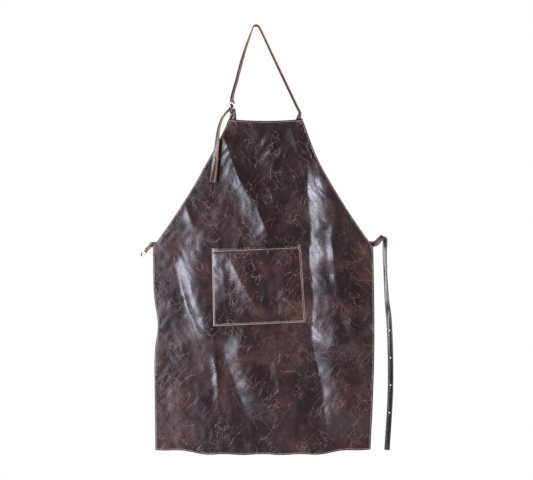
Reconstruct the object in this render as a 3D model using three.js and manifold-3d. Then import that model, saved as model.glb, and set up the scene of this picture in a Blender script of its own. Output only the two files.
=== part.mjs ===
// A leather welding apron, hanging by its neck strap from a peg that is not part of it.
// Millimetres, +Z up. The front faces -Y and the wearer stands on the +Y side. The origin is the
// hang point: the underside of the neck strap, at the middle of its width, where it crosses the peg.
import * as THREE from "three";
import { mergeVertices } from "three/addons/utils/BufferGeometryUtils.js";
import Module from "manifold-3d";

const wasm = await Module();
wasm.setup();

// Stock
const LEATHER = 1.8; // hide of the panel, the pocket and the buckle loops
const STRAP_LAYER = 1.7; // each of the two layers that are sewn into a strap
const THREAD = 0.8;
const GAP = 0.3; // between pieces that lie on each other
const NECK_STRAP = 19; // width
const WAIST_STRAP = 15;
const STRAP_STITCH = 3; // stitch row to the strap's edge

// Panel, as it hangs
const BIB_DROP = 252.6; // hang point down to the bib's top edge
const BIB_WIDTH = 201.6;
const BIB_HEIGHT = 349; // bib's top edge down to the waist corners
const WAIST_WIDTH = 601;
const SKIRT_HEIGHT = 553;
const HEM_WIDTH = 587;
const BIB_CENTRE = 25.7; // right of the hang point
const SKIRT_CENTRE = 18.5;
const BIB_SLOPE = 0.36; // armhole edge, sideways per downwards, at the bib
const WAIST_SLOPE = 0.74; // and at the waist
const BIB_SAG = 5; // top edge, between the two corners that carry it
const HEM_DIP = 11.5; // lowest edge, middle below corners
const SIDE_TUCK = 11; // left edge, drawn in beside the pocket
const SIDE_SWELL = 6; // right edge, bowed out
const HEM_TURN = 10; // edge turned to the back and sewn down
const HEM_STEP = 1.5;
const EDGE_STITCH = 4;
const FRONT = -4; // y of the flat front behind the pocket, the panel's foremost plane
const SLACK = 4; // how far the panel falls back around the pocket
const SIDE_FALL = 11; // and further, towards its sides

// Pocket
const POCKET_MOUTH = 241;
const POCKET_BASE = 250.5;
const POCKET_DEPTH = 211.5;
const POCKET_CENTRE_X = 4.6;
const POCKET_BELOW_WAIST = 103;
const POCKET_TILT = THREE.MathUtils.degToRad(2.45);
const POCKET_BULGE = 9; // slack at the middle of the mouth
const POCKET_STITCH = 4.5;
const MOUTH_STITCH = 6;
const MOUTH_TURN = 12;
const FLAT_MARGIN = 14;

// Buckles
const BAR_RADIUS = 1.6;
const BUCKLE_PLAY = 1.5; // strap edge to the frame's inner side
const NECK_BUCKLE_LENGTH = 20.3; // heel bar to front bar, axis to axis
const WAIST_BUCKLE_LENGTH = 21;
const BUCKLE_CORNER = 4.5;
const ROLLER_RADIUS = 2.9;
const RUNNING = 0.4; // clearance of what turns on a bar
const PRONG_RADIUS = 1.1;
const EYE_WALL = 1.1;
const EYE_WIDTH = 3;
const SLOT_WIDTH = 4.6; // prong slot in a buckle loop
const SLOT_LENGTH = 9;
const NECK_BUCKLE_RISE = 23; // heel bar above the bib's top edge
const NECK_BUCKLE_YAW = THREE.MathUtils.degToRad(48);
const NECK_BUCKLE_LEAN = THREE.MathUtils.degToRad(18);
const FLEX_GAP = 0.5; // leather left out at a line where it bends, each side of the line

// Straps
const PEG_BEND = 9; // radius of the neck strap's middle over the peg
const STRAP_BOW = 4; // its left branch, bowed out between peg and buckle
const TAIL_LENGTH = 196; // from where it bends below the buckle to its end
const TAIL_HOLES = [68, 143]; // from its end
const WAIST_STRAP_DROP = 582; // crest of the waist strap down to its end
const WAIST_STRAP_HOLES = [102, 177, 252, 327, 402]; // from its end
const HOLE_DIAMETER = 4;
const PRONG_HOLE = [3.4, 6]; // width and length of the hole the neck prong is in
const SEWN_LENGTH = 32; // strap end sewn behind the panel
const CREST_RISE = 28.6; // waist strap's crest above the waist corner
const CREST_REACH = 29.4; // and to its right
const TAB_LENGTH = 24; // flex line to the waist buckle's heel bar

const bibTop = -BIB_DROP;
const waist = bibTop - BIB_HEIGHT;
const hem = waist - SKIRT_HEIGHT;
const strapThickness = 2 * STRAP_LAYER + GAP;

const { lerp, smoothstep, clamp } = THREE.MathUtils;
const vec = (x, y, z) => new THREE.Vector3(x, y, z);

// ---------------------------------------------------------------- materials
const leatherFace = new THREE.MeshStandardMaterial({ color: 0x3a2a2b, roughness: 0.42, metalness: 0 });
const leatherLining = new THREE.MeshStandardMaterial({ color: 0x33272a, roughness: 0.5, metalness: 0 });
const strapLeather = new THREE.MeshStandardMaterial({ color: 0x46322f, roughness: 0.45, metalness: 0 });
const nickel = new THREE.MeshStandardMaterial({ color: 0xd2cfc8, roughness: 0.25, metalness: 1 });
const thread = new THREE.MeshStandardMaterial({ color: 0xd9c6b0, roughness: 0.8, metalness: 0 });

// ---------------------------------------------------------------- solids
function toSolid(geometry) {
  const bare = new THREE.BufferGeometry().setAttribute("position", geometry.getAttribute("position"));
  if (geometry.index) bare.setIndex(geometry.index);
  const merged = mergeVertices(bare, 1e-4);
  return new wasm.Manifold(
    new wasm.Mesh({
      numProp: 3,
      vertProperties: new Float32Array(merged.attributes.position.array),
      triVerts: new Uint32Array(merged.index.array),
    }),
  );
}

function toGeometry(solid) {
  const mesh = solid.getMesh();
  const geometry = new THREE.BufferGeometry();
  geometry.setAttribute("position", new THREE.BufferAttribute(mesh.vertProperties, 3));
  geometry.setIndex(new THREE.BufferAttribute(mesh.triVerts, 1));
  geometry.computeVertexNormals();
  return geometry;
}

function cut(geometry, ...tools) {
  return toGeometry(tools.reduce((left, tool) => left.subtract(toSolid(tool)), toSolid(geometry)));
}

function join(...geometries) {
  return toGeometry(geometries.map(toSolid).reduce((all, next) => all.add(next)));
}

function indexed(points, faces) {
  const geometry = new THREE.BufferGeometry().setFromPoints(points);
  geometry.setIndex(faces);
  geometry.computeVertexNormals();
  return geometry;
}

function piece(name, geometry, material, parent) {
  const mesh = new THREE.Mesh(geometry, material);
  mesh.name = name;
  parent.add(mesh);
  return mesh;
}

// A solid that carries one outline, given as points of each ring, from ring to ring.
function loft(rings, closed = false) {
  const sides = rings[0].length;
  const faces = [];
  const spans = closed ? rings.length : rings.length - 1;
  for (let i = 0; i < spans; i++) {
    const a = i * sides;
    const b = ((i + 1) % rings.length) * sides;
    for (let j = 0; j < sides; j++) {
      const k = (j + 1) % sides;
      faces.push(a + j, b + j, b + k, a + j, b + k, a + k);
    }
  }
  if (!closed) {
    const last = (rings.length - 1) * sides;
    for (let j = 1; j < sides - 1; j++) {
      faces.push(0, j, j + 1);
      faces.push(last, last + j + 1, last + j);
    }
  }
  return indexed(rings.flat(), faces);
}

// A closed sheet between two grids of points, front[row][column] and back[row][column], seen from
// the front with rows running down and columns running right.
function sheet(front, back) {
  const rows = front.length;
  const columns = front[0].length;
  const at = (r, c) => r * columns + c;
  const under = rows * columns;
  const faces = [];
  for (let r = 0; r < rows - 1; r++) {
    for (let c = 0; c < columns - 1; c++) {
      const [a, b, d, e] = [at(r, c), at(r, c + 1), at(r + 1, c), at(r + 1, c + 1)];
      faces.push(a, d, e, a, e, b);
      faces.push(under + a, under + e, under + d, under + a, under + b, under + e);
    }
  }
  const wall = (a, b) => faces.push(a, b, under + b, a, under + b, under + a);
  for (let c = 0; c < columns - 1; c++) {
    wall(at(0, c), at(0, c + 1));
    wall(at(rows - 1, c + 1), at(rows - 1, c));
  }
  for (let r = 0; r < rows - 1; r++) {
    wall(at(r + 1, 0), at(r, 0));
    wall(at(r, columns - 1), at(r + 1, columns - 1));
  }
  return indexed([...front.flat(), ...back.flat()], faces);
}

// A run of thread through points, lying on a surface whose outward direction is given at each.
function threadRun(points, outward, closed = false) {
  const last = points.length - 1;
  const rings = points.map((p, i) => {
    const before = points[i > 0 ? i - 1 : closed ? last : 0];
    const after = points[i < last ? i + 1 : closed ? 0 : last];
    const along = after.clone().sub(before).normalize();
    const side = along.clone().cross(outward[i]).normalize();
    const up = side.clone().cross(along);
    const centre = p.clone().addScaledVector(up, GAP + THREAD / 2);
    return [0, 1, 2, 3].map((k) => {
      const turn = (k * Math.PI) / 2;
      return centre
        .clone()
        .addScaledVector(side, (Math.cos(turn) * THREAD) / 2)
        .addScaledVector(up, (Math.sin(turn) * THREAD) / 2);
    });
  });
  return loft(rings, closed);
}

// ---------------------------------------------------------------- straps
// A strap's route is a list of stops, { at, edge }: a place and the direction from the middle of
// the strap towards one of its edges. Each station of the strap has its centre, the direction
// along it, that edge direction and its outer side.
function strapStations(stops, stepsPerStop) {
  const curve = new THREE.CatmullRomCurve3(stops.map((s) => s.at), false, "centripetal");
  const steps = (stops.length - 1) * stepsPerStop;
  return Array.from({ length: steps + 1 }, (_, i) => {
    const place = i / stepsPerStop;
    const low = Math.min(Math.floor(place), stops.length - 2);
    const along = curve.getTangent(i / steps);
    const edge = stops[low].edge.clone().lerp(stops[low + 1].edge, place - low);
    edge.addScaledVector(along, -edge.dot(along)).normalize();
    return { centre: curve.getPoint(i / steps), along, edge, out: along.clone().cross(edge).normalize() };
  });
}

// The edge direction of a strap that hangs down, turned away from the panel's plane: at 0 degrees
// its outer side is seen face on, and at 90 degrees it is seen edge on.
const turned = (degrees) => {
  const angle = THREE.MathUtils.degToRad(degrees);
  return vec(Math.cos(angle), -Math.sin(angle), 0);
};

// One layer of a strap, between two heights above the middle of the strap's thickness.
function strapLayer(stations, width, low, high) {
  const surface = (height) =>
    stations.map((s) =>
      [-1, 1].map((side) =>
        s.centre.clone().addScaledVector(s.edge, (side * width) / 2).addScaledVector(s.out, height),
      ),
    );
  return sheet(surface(high), surface(low));
}

const outerLayer = (stations, width) => strapLayer(stations, width, GAP / 2, strapThickness / 2);
const liningLayer = (stations, width) => strapLayer(stations, width, -strapThickness / 2, -GAP / 2);

// A stitch row down one edge of a strap, across at the last station and back along the other edge,
// on its outer side or, with side -1, on its lining.
function strapThread(stations, width, side = 1) {
  const row = (edge, s) =>
    s.centre
      .clone()
      .addScaledVector(s.edge, edge * (width / 2 - STRAP_STITCH))
      .addScaledVector(s.out, (side * strapThickness) / 2);
  const back = [...stations].reverse();
  return threadRun(
    [...stations.map((s) => row(-1, s)), ...back.map((s) => row(1, s))],
    [...stations, ...back].map((s) => s.out.clone().multiplyScalar(side)),
  );
}

// A punch that goes right through a strap at a station.
function punch(station, width, length = width) {
  const reach = 3 * strapThickness;
  const tool =
    length > width
      ? new THREE.BoxGeometry(width, length, reach)
      : new THREE.CylinderGeometry(width / 2, width / 2, reach, 12).rotateX(Math.PI / 2);
  const turn = new THREE.Matrix4().makeBasis(station.edge, station.along, station.out.clone().negate());
  return tool.applyMatrix4(turn.setPosition(station.centre));
}

// The station of a strap at a distance from its last one, measured along it.
function stationFromEnd(stations, distance) {
  let left = distance;
  for (let i = stations.length - 1; i > 0; i--) {
    const [a, b] = [stations[i], stations[i - 1]];
    const span = a.centre.distanceTo(b.centre);
    if (left <= span) return { ...a, centre: a.centre.clone().lerp(b.centre, left / span) };
    left -= span;
  }
  return stations[0];
}

// ---------------------------------------------------------------- panel
const down = (z) => (bibTop - z) / BIB_HEIGHT; // 0 at the bib's top, 1 at the waist
const below = (z) => (waist - z) / SKIRT_HEIGHT; // 0 at the waist, 1 at the hem

function halfWidth(z) {
  if (z <= waist) return lerp(WAIST_WIDTH, HEM_WIDTH, below(z)) / 2;
  const t = clamp(down(z), 0, 1);
  const u = 1 - t;
  const third = BIB_HEIGHT / 3;
  const a = BIB_WIDTH / 2;
  const b = a + BIB_SLOPE * third;
  const d = WAIST_WIDTH / 2;
  const c = d - WAIST_SLOPE * third;
  return u * u * u * a + 3 * u * u * t * b + 3 * u * t * t * c + t * t * t * d;
}

const centreLine = (z) => lerp(BIB_CENTRE, SKIRT_CENTRE, smoothstep(down(z), 0, 0.4));
const bell = (distance, width) => Math.exp(-((distance / width) ** 2));

function leftEdge(z) {
  const tuckAt = waist - 0.38 * SKIRT_HEIGHT;
  return centreLine(z) - halfWidth(z) + (z < waist ? SIDE_TUCK * bell(z - tuckAt, 55) : 0);
}

function rightEdge(z) {
  return centreLine(z) + halfWidth(z) + (z < waist ? SIDE_SWELL * Math.sin(Math.PI * below(z)) : 0);
}

const pocketCentre = vec(POCKET_CENTRE_X, FRONT, waist - POCKET_BELOW_WAIST);

// The panel's long soft folds: ridges that come forward out of the slack, from one place to another.
const FOLDS = [
  { from: [-85, -283], to: [45, -575], width: 24, height: 3.5 },
  { from: [157, -380], to: [174, -718], width: 20, height: 7 },
  { from: [174, -718], to: [193, -1080], width: 22, height: 7 },
  { from: [-255, -510], to: [-170, -572], width: 22, height: 6 },
  { from: [-215, -645], to: [-140, -868], width: 20, height: 6 },
  { from: [-140, -868], to: [-115, -1020], width: 18, height: 4 },
  { from: [-85, -870], to: [5, -1085], width: 22, height: 3.5 },
];

function fold(x, z, { from, to, width, height }) {
  const [dx, dz] = [to[0] - from[0], to[1] - from[1]];
  const t = clamp(((x - from[0]) * dx + (z - from[1]) * dz) / (dx * dx + dz * dz), 0, 1);
  return height * bell(Math.hypot(x - from[0] - t * dx, z - from[1] - t * dz), width);
}

// How far the panel's front lies behind its foremost plane.
function drape(x, z) {
  const pastX = Math.abs(x - pocketCentre.x) - POCKET_BASE / 2 - FLAT_MARGIN;
  const pastZ = Math.abs(z - pocketCentre.z) - POCKET_DEPTH / 2 - FLAT_MARGIN;
  const past = Math.hypot(Math.max(pastX, 0), Math.max(pastZ, 0));
  const fall = SLACK * smoothstep(past, 0, 70) + SIDE_FALL * smoothstep(pastX, 0, 190);
  const forward = FOLDS.reduce((sum, f) => sum + fold(x, z, f), 0);
  return Math.max(0, fall - forward * smoothstep(past, 0, 60));
}

// Border lines shared by the grids: the edge, the stitch row and the two sides of the turned hem.
const BORDER = [0, EDGE_STITCH, HEM_TURN, HEM_TURN + HEM_STEP];
const INNER_COLUMNS = 16;
const BIB_ROWS = 11;
const SKIRT_ROWS = 17;

function panelRows() {
  const inset = BORDER.at(-1);
  const rows = BORDER.map((d) => bibTop - d);
  for (let i = 1; i < BIB_ROWS; i++) rows.push(lerp(bibTop - inset, waist, i / BIB_ROWS));
  rows.push(waist);
  for (let i = 1; i < SKIRT_ROWS; i++) rows.push(lerp(waist, hem + inset, i / SKIRT_ROWS));
  return [...rows, ...[...BORDER].reverse().map((d) => hem + d)];
}

function panelColumns(z) {
  const [left, right] = [leftEdge(z), rightEdge(z)];
  const inset = BORDER.at(-1);
  const columns = BORDER.map((d) => left + d);
  for (let i = 1; i < INNER_COLUMNS; i++) {
    columns.push(lerp(left + inset, right - inset, i / INNER_COLUMNS));
  }
  return [...columns, ...[...BORDER].reverse().map((d) => right - d)];
}

// The grid's front points, with the top edge's sag and the hem's dip worked in.
function panelGrid() {
  return panelRows().map((z) =>
    panelColumns(z).map((x) => {
      const across = (x - centreLine(z)) / halfWidth(z);
      const sag = BIB_SAG * (1 - across * across) * (1 - smoothstep(bibTop - z, 15, 60));
      const flatMiddle = 1 - smoothstep(Math.abs(across), 0.45, 0.85);
      const dip = HEM_DIP * flatMiddle * (1 - smoothstep(z - hem, 15, 90));
      return vec(x, FRONT + drape(x, z), z - sag - dip);
    }),
  );
}

function panelBack(front) {
  const rows = front.length;
  const columns = front[0].length;
  const thick = BORDER.length - 1;
  return front.map((row, r) =>
    row.map((p, c) => {
      const line = Math.min(r, c, rows - 1 - r, columns - 1 - c);
      return vec(p.x, p.y + (line < thick ? 2 : 1) * LEATHER, p.z);
    }),
  );
}

// The ring of grid points on the stitch row, once round.
function stitchRing(grid) {
  const [rows, columns] = [grid.length, grid[0].length];
  const ring = [];
  for (let c = 1; c < columns - 1; c++) ring.push(grid[1][c]);
  for (let r = 2; r < rows - 1; r++) ring.push(grid[r][columns - 2]);
  for (let c = columns - 3; c > 0; c--) ring.push(grid[rows - 2][c]);
  for (let r = rows - 3; r > 1; r--) ring.push(grid[r][1]);
  return ring;
}

// ---------------------------------------------------------------- pocket
function pocketLines(count, length, lowStitch, highStitch) {
  const lines = [0, lowStitch / length];
  for (let i = 1; i < count; i++) lines.push(lerp(lines[1], 1 - highStitch / length, i / count));
  return [...lines, 1 - highStitch / length, 1];
}

const pocketAcross = pocketLines(10, POCKET_BASE, POCKET_STITCH, POCKET_STITCH);
const pocketDown = pocketLines(9, POCKET_DEPTH, MOUTH_STITCH, POCKET_STITCH);
pocketDown.splice(2, 0, MOUTH_TURN / POCKET_DEPTH, (MOUTH_TURN + HEM_STEP) / POCKET_DEPTH);

// A point of the pocket: across and down from 0 to 1, and its distance in front of the panel.
function pocketPoint(across, downwards, ahead) {
  const width = lerp(POCKET_MOUTH, POCKET_BASE, downwards);
  const local = vec((across - 0.5) * width, 0, (0.5 - downwards) * POCKET_DEPTH);
  local.applyAxisAngle(vec(0, -1, 0), POCKET_TILT);
  return local.add(pocketCentre).add(vec(0, -ahead, 0));
}

function pocketBulge(across, downwards) {
  return POCKET_BULGE * (1 - (2 * across - 1) ** 4) * (1 - downwards ** 4);
}

function pocketGrids() {
  const turned = (MOUTH_TURN + 0.1) / POCKET_DEPTH;
  const grid = (ahead) => pocketDown.map((d) => pocketAcross.map((a) => pocketPoint(a, d, ahead(a, d))));
  const inner = (a, d) => {
    const bulge = pocketBulge(a, d);
    return GAP + bulge - (d < turned ? Math.min(bulge, LEATHER) : 0);
  };
  const outer = (a, d) => inner(a, d) + (d < turned ? 2 : 1) * LEATHER;
  return { front: grid(outer), back: grid(inner) };
}

// ---------------------------------------------------------------- buckles
// Built flat: x along the bars, y from the heel bar to the front bar, z towards the buckle's front.
const frameHalf = (strapWidth) => strapWidth / 2 + BUCKLE_PLAY + BAR_RADIUS;

function buckleFrame(strapWidth, length) {
  const half = frameHalf(strapWidth);
  const outline = new THREE.Shape();
  outline.moveTo(-half + BUCKLE_CORNER, 0);
  outline.lineTo(half - BUCKLE_CORNER, 0);
  outline.absarc(half - BUCKLE_CORNER, BUCKLE_CORNER, BUCKLE_CORNER, -Math.PI / 2, 0);
  outline.lineTo(half, length - BUCKLE_CORNER);
  outline.absarc(half - BUCKLE_CORNER, length - BUCKLE_CORNER, BUCKLE_CORNER, 0, Math.PI / 2);
  outline.lineTo(-half + BUCKLE_CORNER, length);
  outline.absarc(-half + BUCKLE_CORNER, length - BUCKLE_CORNER, BUCKLE_CORNER, Math.PI / 2, Math.PI);
  outline.lineTo(-half, BUCKLE_CORNER);
  outline.absarc(-half + BUCKLE_CORNER, BUCKLE_CORNER, BUCKLE_CORNER, Math.PI, 1.5 * Math.PI);
  const points = outline.getPoints(4).filter((p, i, all) => p.distanceTo(all.at(i - 1)) > 1e-3);
  const sides = 8;
  const rings = points.map((p, i) => {
    const along = points[(i + 1) % points.length].clone().sub(points.at(i - 1)).normalize();
    return Array.from({ length: sides }, (_, k) => {
      const turn = (2 * Math.PI * k) / sides;
      const out = Math.cos(turn) * BAR_RADIUS;
      return vec(p.x + along.y * out, p.y - along.x * out, Math.sin(turn) * BAR_RADIUS);
    });
  });
  return loft(rings, true);
}

// A tube round the bar at y, from an inner to an outer radius.
function sleeve(inner, outer, width, y) {
  const profile = [
    [inner, -width / 2],
    [outer, -width / 2],
    [outer, width / 2],
    [inner, width / 2],
    [inner, -width / 2],
  ].map(([r, h]) => new THREE.Vector2(r, h));
  return new THREE.LatheGeometry(profile, 16).rotateZ(Math.PI / 2).translate(0, y, 0);
}

function buckleRoller(strapWidth, length) {
  const width = 2 * (frameHalf(strapWidth) - BUCKLE_CORNER) - 1;
  return sleeve(BAR_RADIUS + RUNNING, ROLLER_RADIUS, width, length);
}

const eyeInner = BAR_RADIUS + RUNNING;

// The prong: an eye round the heel bar and a rod that rests on the roller.
function buckleProng(length) {
  const rest = ROLLER_RADIUS + GAP + PRONG_RADIUS;
  const path = new THREE.CatmullRomCurve3([
    vec(0, eyeInner + 0.3, 0.6),
    vec(0, 0.35 * length, 0.6 * rest),
    vec(0, 0.75 * length, rest),
    vec(0, length + 0.6, rest + 0.05),
    vec(0, length + ROLLER_RADIUS, rest - 0.7),
  ]);
  const sides = 8;
  const rings = Array.from({ length: 13 }, (_, i) => {
    const centre = path.getPoint(i / 12);
    const along = path.getTangent(i / 12);
    const up = vec(1, 0, 0).cross(along).normalize();
    const radius = PRONG_RADIUS * (i === 12 ? 0.6 : 1);
    return Array.from({ length: sides }, (_, k) => {
      const turn = (2 * Math.PI * k) / sides;
      return centre
        .clone()
        .add(vec(Math.cos(turn) * radius, 0, 0))
        .addScaledVector(up, Math.sin(turn) * radius);
    });
  });
  return join(sleeve(eyeInner, eyeInner + EYE_WALL, EYE_WIDTH, 0), loft(rings));
}

// The leather folded round the heel bar: up the front, over the bar and down the back.
const foldRadius = BAR_RADIUS + RUNNING + LEATHER / 2;

function buckleLoop(width, leg) {
  const close = (LEATHER + GAP) / 2;
  const path = [
    [-leg, close],
    [-2.2 * foldRadius, close],
  ];
  for (let i = 0; i <= 10; i++) {
    const turn = lerp(Math.PI * 0.66, -Math.PI * 0.66, i / 10);
    path.push([foldRadius * Math.cos(turn), foldRadius * Math.sin(turn)]);
  }
  path.push([-2.2 * foldRadius, -close], [-leg, -close]);
  const rings = path.map(([y, z], i) => {
    const before = path[Math.max(i - 1, 0)];
    const after = path[Math.min(i + 1, path.length - 1)];
    const along = new THREE.Vector2(after[0] - before[0], after[1] - before[1]).normalize();
    const corner = (x, out) => vec(x, y - along.y * out, z + along.x * out);
    const [half, wall] = [width / 2, LEATHER / 2];
    return [corner(-half, -wall), corner(half, -wall), corner(half, wall), corner(-half, wall)];
  });
  const slot = new THREE.BoxGeometry(SLOT_WIDTH, 2 * SLOT_LENGTH, 6 * foldRadius);
  return cut(loft(rings), slot);
}

// A strap end sewn flat behind the panel, between two places across it, centred at one height.
function sewnAcross(from, to, z, width) {
  const ring = (x) => {
    const front = Math.max(edgeBack(x, z - width / 2), edgeBack(x, z + width / 2)) + 2 * GAP;
    const [low, high, back] = [z - width / 2, z + width / 2, front + strapThickness];
    return [vec(x, front, low), vec(x, front, high), vec(x, back, high), vec(x, back, low)];
  };
  return loft([ring(from), ring((from + to) / 2), ring(to)]);
}

// A strap end sewn upright behind the bib's top edge, up to where it bends.
function sewnUpright(x, width, thickness) {
  const length = SEWN_LENGTH + bibFlexZ - bibTop - FLEX_GAP;
  const box = new THREE.BoxGeometry(width, thickness, length);
  return box.translate(x, bibSewnFront + thickness / 2, bibFlexZ - FLEX_GAP - length / 2);
}

// ---------------------------------------------------------------- places
const edgeBack = (x, z) => FRONT + drape(x, z) + 2 * LEATHER; // the turned hem's back
const bibLeft = leftEdge(bibTop);
const bibRight = rightEdge(bibTop);
const bibSewnFront = FRONT + SLACK + 2 * LEATHER + GAP;
const bibFlexZ = bibTop + 2; // where the straps bend, just above the bib
const loopThickness = 2 * LEATHER + GAP;

// A buckle's frame: its bars along one direction, its length along another.
function buckleFrameAt(bars, long, heel) {
  return new THREE.Matrix4().makeBasis(bars, long, bars.clone().cross(long)).setPosition(heel);
}

// The neck buckle stands over the bib's left corner, leaning left, its front turned to the left.
const neckPlace = new THREE.Matrix4()
  .makeTranslation(bibLeft + 0.55 * NECK_STRAP, bibSewnFront + loopThickness / 2, bibTop + NECK_BUCKLE_RISE)
  .multiply(new THREE.Matrix4().makeRotationY(-NECK_BUCKLE_LEAN))
  .multiply(buckleFrameAt(turned(THREE.MathUtils.radToDeg(NECK_BUCKLE_YAW)), vec(0, 0, 1), vec(0, 0, 0)));
const inNeckBuckle = (x, y, z) => vec(x, y, z).applyMatrix4(neckPlace);

// ---------------------------------------------------------------- neck strap
const tailBend = inNeckBuckle(0, 0.22 * NECK_BUCKLE_LENGTH, 9).add(vec(-10, -7.5, -10.5));
const tailHeading = vec(-0.58, -0.33, -0.74).normalize();

// From the bib's right corner up over the peg, down to the buckle and through it.
function neckStrapStops() {
  const tilt = 0.16 * NECK_STRAP; // its slanted end stays clear of the sewn part
  const start = vec(bibRight - 0.52 * NECK_STRAP, bibSewnFront + 7, bibFlexZ + FLEX_GAP + tilt);
  const bend = start.clone().add(vec(2.7, -2, 11));
  const top = vec(0, 0, strapThickness / 2 - PEG_BEND);
  const overPeg = (degrees) => {
    const angle = THREE.MathUtils.degToRad(degrees);
    return top.clone().add(vec(PEG_BEND * Math.cos(angle), 0, PEG_BEND * Math.sin(angle)));
  };
  const behindRoller = -(ROLLER_RADIUS + THREAD + 4.9);
  const entry = inNeckBuckle(1, NECK_BUCKLE_LENGTH + 9, behindRoller - 0.4);
  const stops = [
    [start, 35],
    [bend, 62],
    [bend.clone().lerp(overPeg(26), 0.07), 74],
    [bend.clone().lerp(overPeg(26), 0.3), 79],
    [bend.clone().lerp(overPeg(26), 0.65), 83],
    [overPeg(26), 88],
    ...[50, 70, 90, 112, 138].map((degrees) => [overPeg(degrees), 90]),
    [overPeg(164), 88],
    [overPeg(164).lerp(entry, 0.2).add(vec(-0.8 * STRAP_BOW, 0, 0)), 84],
    [overPeg(164).lerp(entry, 0.45).add(vec(-STRAP_BOW, 0, 0)), 80],
    [overPeg(164).lerp(entry, 0.72).add(vec(-0.6 * STRAP_BOW, 0, 0)), 76],
    [entry, 66],
    [inNeckBuckle(0.5, NECK_BUCKLE_LENGTH + 1, behindRoller), 61],
    [inNeckBuckle(0, 0.64 * NECK_BUCKLE_LENGTH, -6), 60],
    [inNeckBuckle(0, 0.41 * NECK_BUCKLE_LENGTH, 1.8), 60],
    [inNeckBuckle(0, 0.22 * NECK_BUCKLE_LENGTH, 9), 64],
    [tailBend.clone().addScaledVector(tailHeading, -FLEX_GAP - 1), 74],
  ];
  return stops.map(([at, turn]) => ({ at, edge: turned(turn) }));
}

// The tail from where it bends: sideways, forwards and down, and how far it is turned.
const TAIL_SHAPE = [
  [-1, -0.6, -1.3, 74],
  [-10, -4.5, -15, 74],
  [-18.5, -5, -42, 69],
  [-23, -4.6, -79, 58],
  [-26.5, -3.8, -112, 48],
  [-30, -2.4, -146, 37],
  [-34.5, -0.6, -182, 26],
];

function tailStops() {
  const size = TAIL_LENGTH / Math.hypot(TAIL_SHAPE.at(-1)[0], TAIL_SHAPE.at(-1)[2]) / 1.02;
  return TAIL_SHAPE.map(([x, y, z, turn]) => ({
    at: tailBend.clone().add(vec(x * size, y, z * size)),
    edge: turned(turn),
  }));
}

// ---------------------------------------------------------------- waist strap
const rightCorner = vec(rightEdge(waist), 0, waist + 8.6);
const rightSewnBack = edgeBack(rightCorner.x, waist) + 2 * GAP + strapThickness;
const crest = vec(rightEdge(waist) + CREST_REACH, rightSewnBack - 6, waist + CREST_RISE);

// From the corner up and out to the crest, where it bends over.
function waistRootStops() {
  const start = rightCorner.clone().setY(rightSewnBack - strapThickness / 2);
  return [
    { at: start.clone().add(vec(3, 0, 0)), edge: vec(0, 0, -1) },
    { at: start.clone().add(vec(6, -0.2, 0.8)), edge: vec(0.06, -0.04, -1) },
    { at: start.clone().add(vec(11, -0.8, 4.2)), edge: vec(0.25, -0.16, -0.95) },
    { at: start.clone().lerp(crest, 0.6).add(vec(0.5, 0, 0)), edge: vec(0.42, -0.34, -0.82) },
    { at: crest.clone().add(vec(-6, 0, -2.6)), edge: vec(0.48, -0.5, -0.7) },
    { at: crest.clone().add(vec(-2.6, 0, -0.4)), edge: vec(0.45, -0.65, -0.55) },
  ];
}

// The strap hanging from the crest: sideways, and its share of the whole drop, and its turn.
const WAIST_STRAP_SHAPE = [
  [0.8, 0.0025, 72],
  [2.6, 0.008, 50],
  [3.2, 0.02, 40],
  [2.4, 0.065, 52],
  [4, 0.165, 65],
  [8.5, 0.3, 50],
  [14, 0.39, 22],
  [18, 0.57, 20],
  [17.4, 0.74, 20],
  [8.5, 1, 20],
];

function waistStrapStops() {
  return WAIST_STRAP_SHAPE.map(([x, share, turn]) => ({
    at: crest.clone().add(vec(x, 0, -share * WAIST_STRAP_DROP)),
    edge: turned(turn),
  }));
}

// ---------------------------------------------------------------- waist tab
const leftCorner = vec(leftEdge(waist), 0, waist + 6.6);
const leftSewnMiddle = edgeBack(leftCorner.x, waist) + 2 * GAP + strapThickness / 2;
const tabHeading = vec(-0.629, 0.458, -0.629).normalize();
const tabStart = leftCorner.clone().add(vec(-4.4, leftSewnMiddle, 0));
const waistPlace = buckleFrameAt(
  vec(0, 0.81, 0.59).normalize(),
  tabHeading,
  tabStart.clone().addScaledVector(tabHeading, TAB_LENGTH),
);

// ---------------------------------------------------------------- assembly
const apron = new THREE.Group();
apron.name = "welding_apron";

function addPanel() {
  const front = panelGrid();
  const ring = stitchRing(front);
  const forward = ring.map(() => vec(0, -1, 0));
  piece("main_panel", sheet(front, panelBack(front)), leatherFace, apron);
  piece("edge_thread", threadRun(ring, forward, true), thread, apron);
}

function addPocket() {
  const { front, back } = pocketGrids();
  const rows = front.length;
  const columns = front[0].length;
  const sides = [
    ...front.slice(1, rows - 1).map((row) => row[1]),
    ...front[rows - 2].slice(2, columns - 2),
    ...front.slice(1, rows - 1).map((row) => row[columns - 2]).reverse(),
  ];
  const mouth = front[1].slice(2, columns - 2);
  const forward = (points) => points.map(() => vec(0, -1, 0));
  piece("pocket", sheet(front, back), leatherFace, apron);
  piece("pocket_thread", threadRun(sides, forward(sides)), thread, apron);
  piece("pocket_mouth_thread", threadRun(mouth, forward(mouth)), thread, apron);
}

function addNeckStrap() {
  const stations = strapStations(neckStrapStops(), 2);
  const crossing = inNeckBuckle(0, 0.39 * NECK_BUCKLE_LENGTH, 2.6);
  const near = (s) => s.centre.distanceTo(crossing);
  const hole = punch(stations.reduce((best, s) => (near(s) < near(best) ? s : best)), ...PRONG_HOLE);
  piece("neck_strap_outer", cut(outerLayer(stations, NECK_STRAP), hole), strapLeather, apron);
  piece("neck_strap_lining", cut(liningLayer(stations, NECK_STRAP), hole), leatherLining, apron);
  const run = stations.slice(1, -1).reverse();
  piece("neck_strap_thread", strapThread(run, NECK_STRAP), thread, apron);
}

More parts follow.
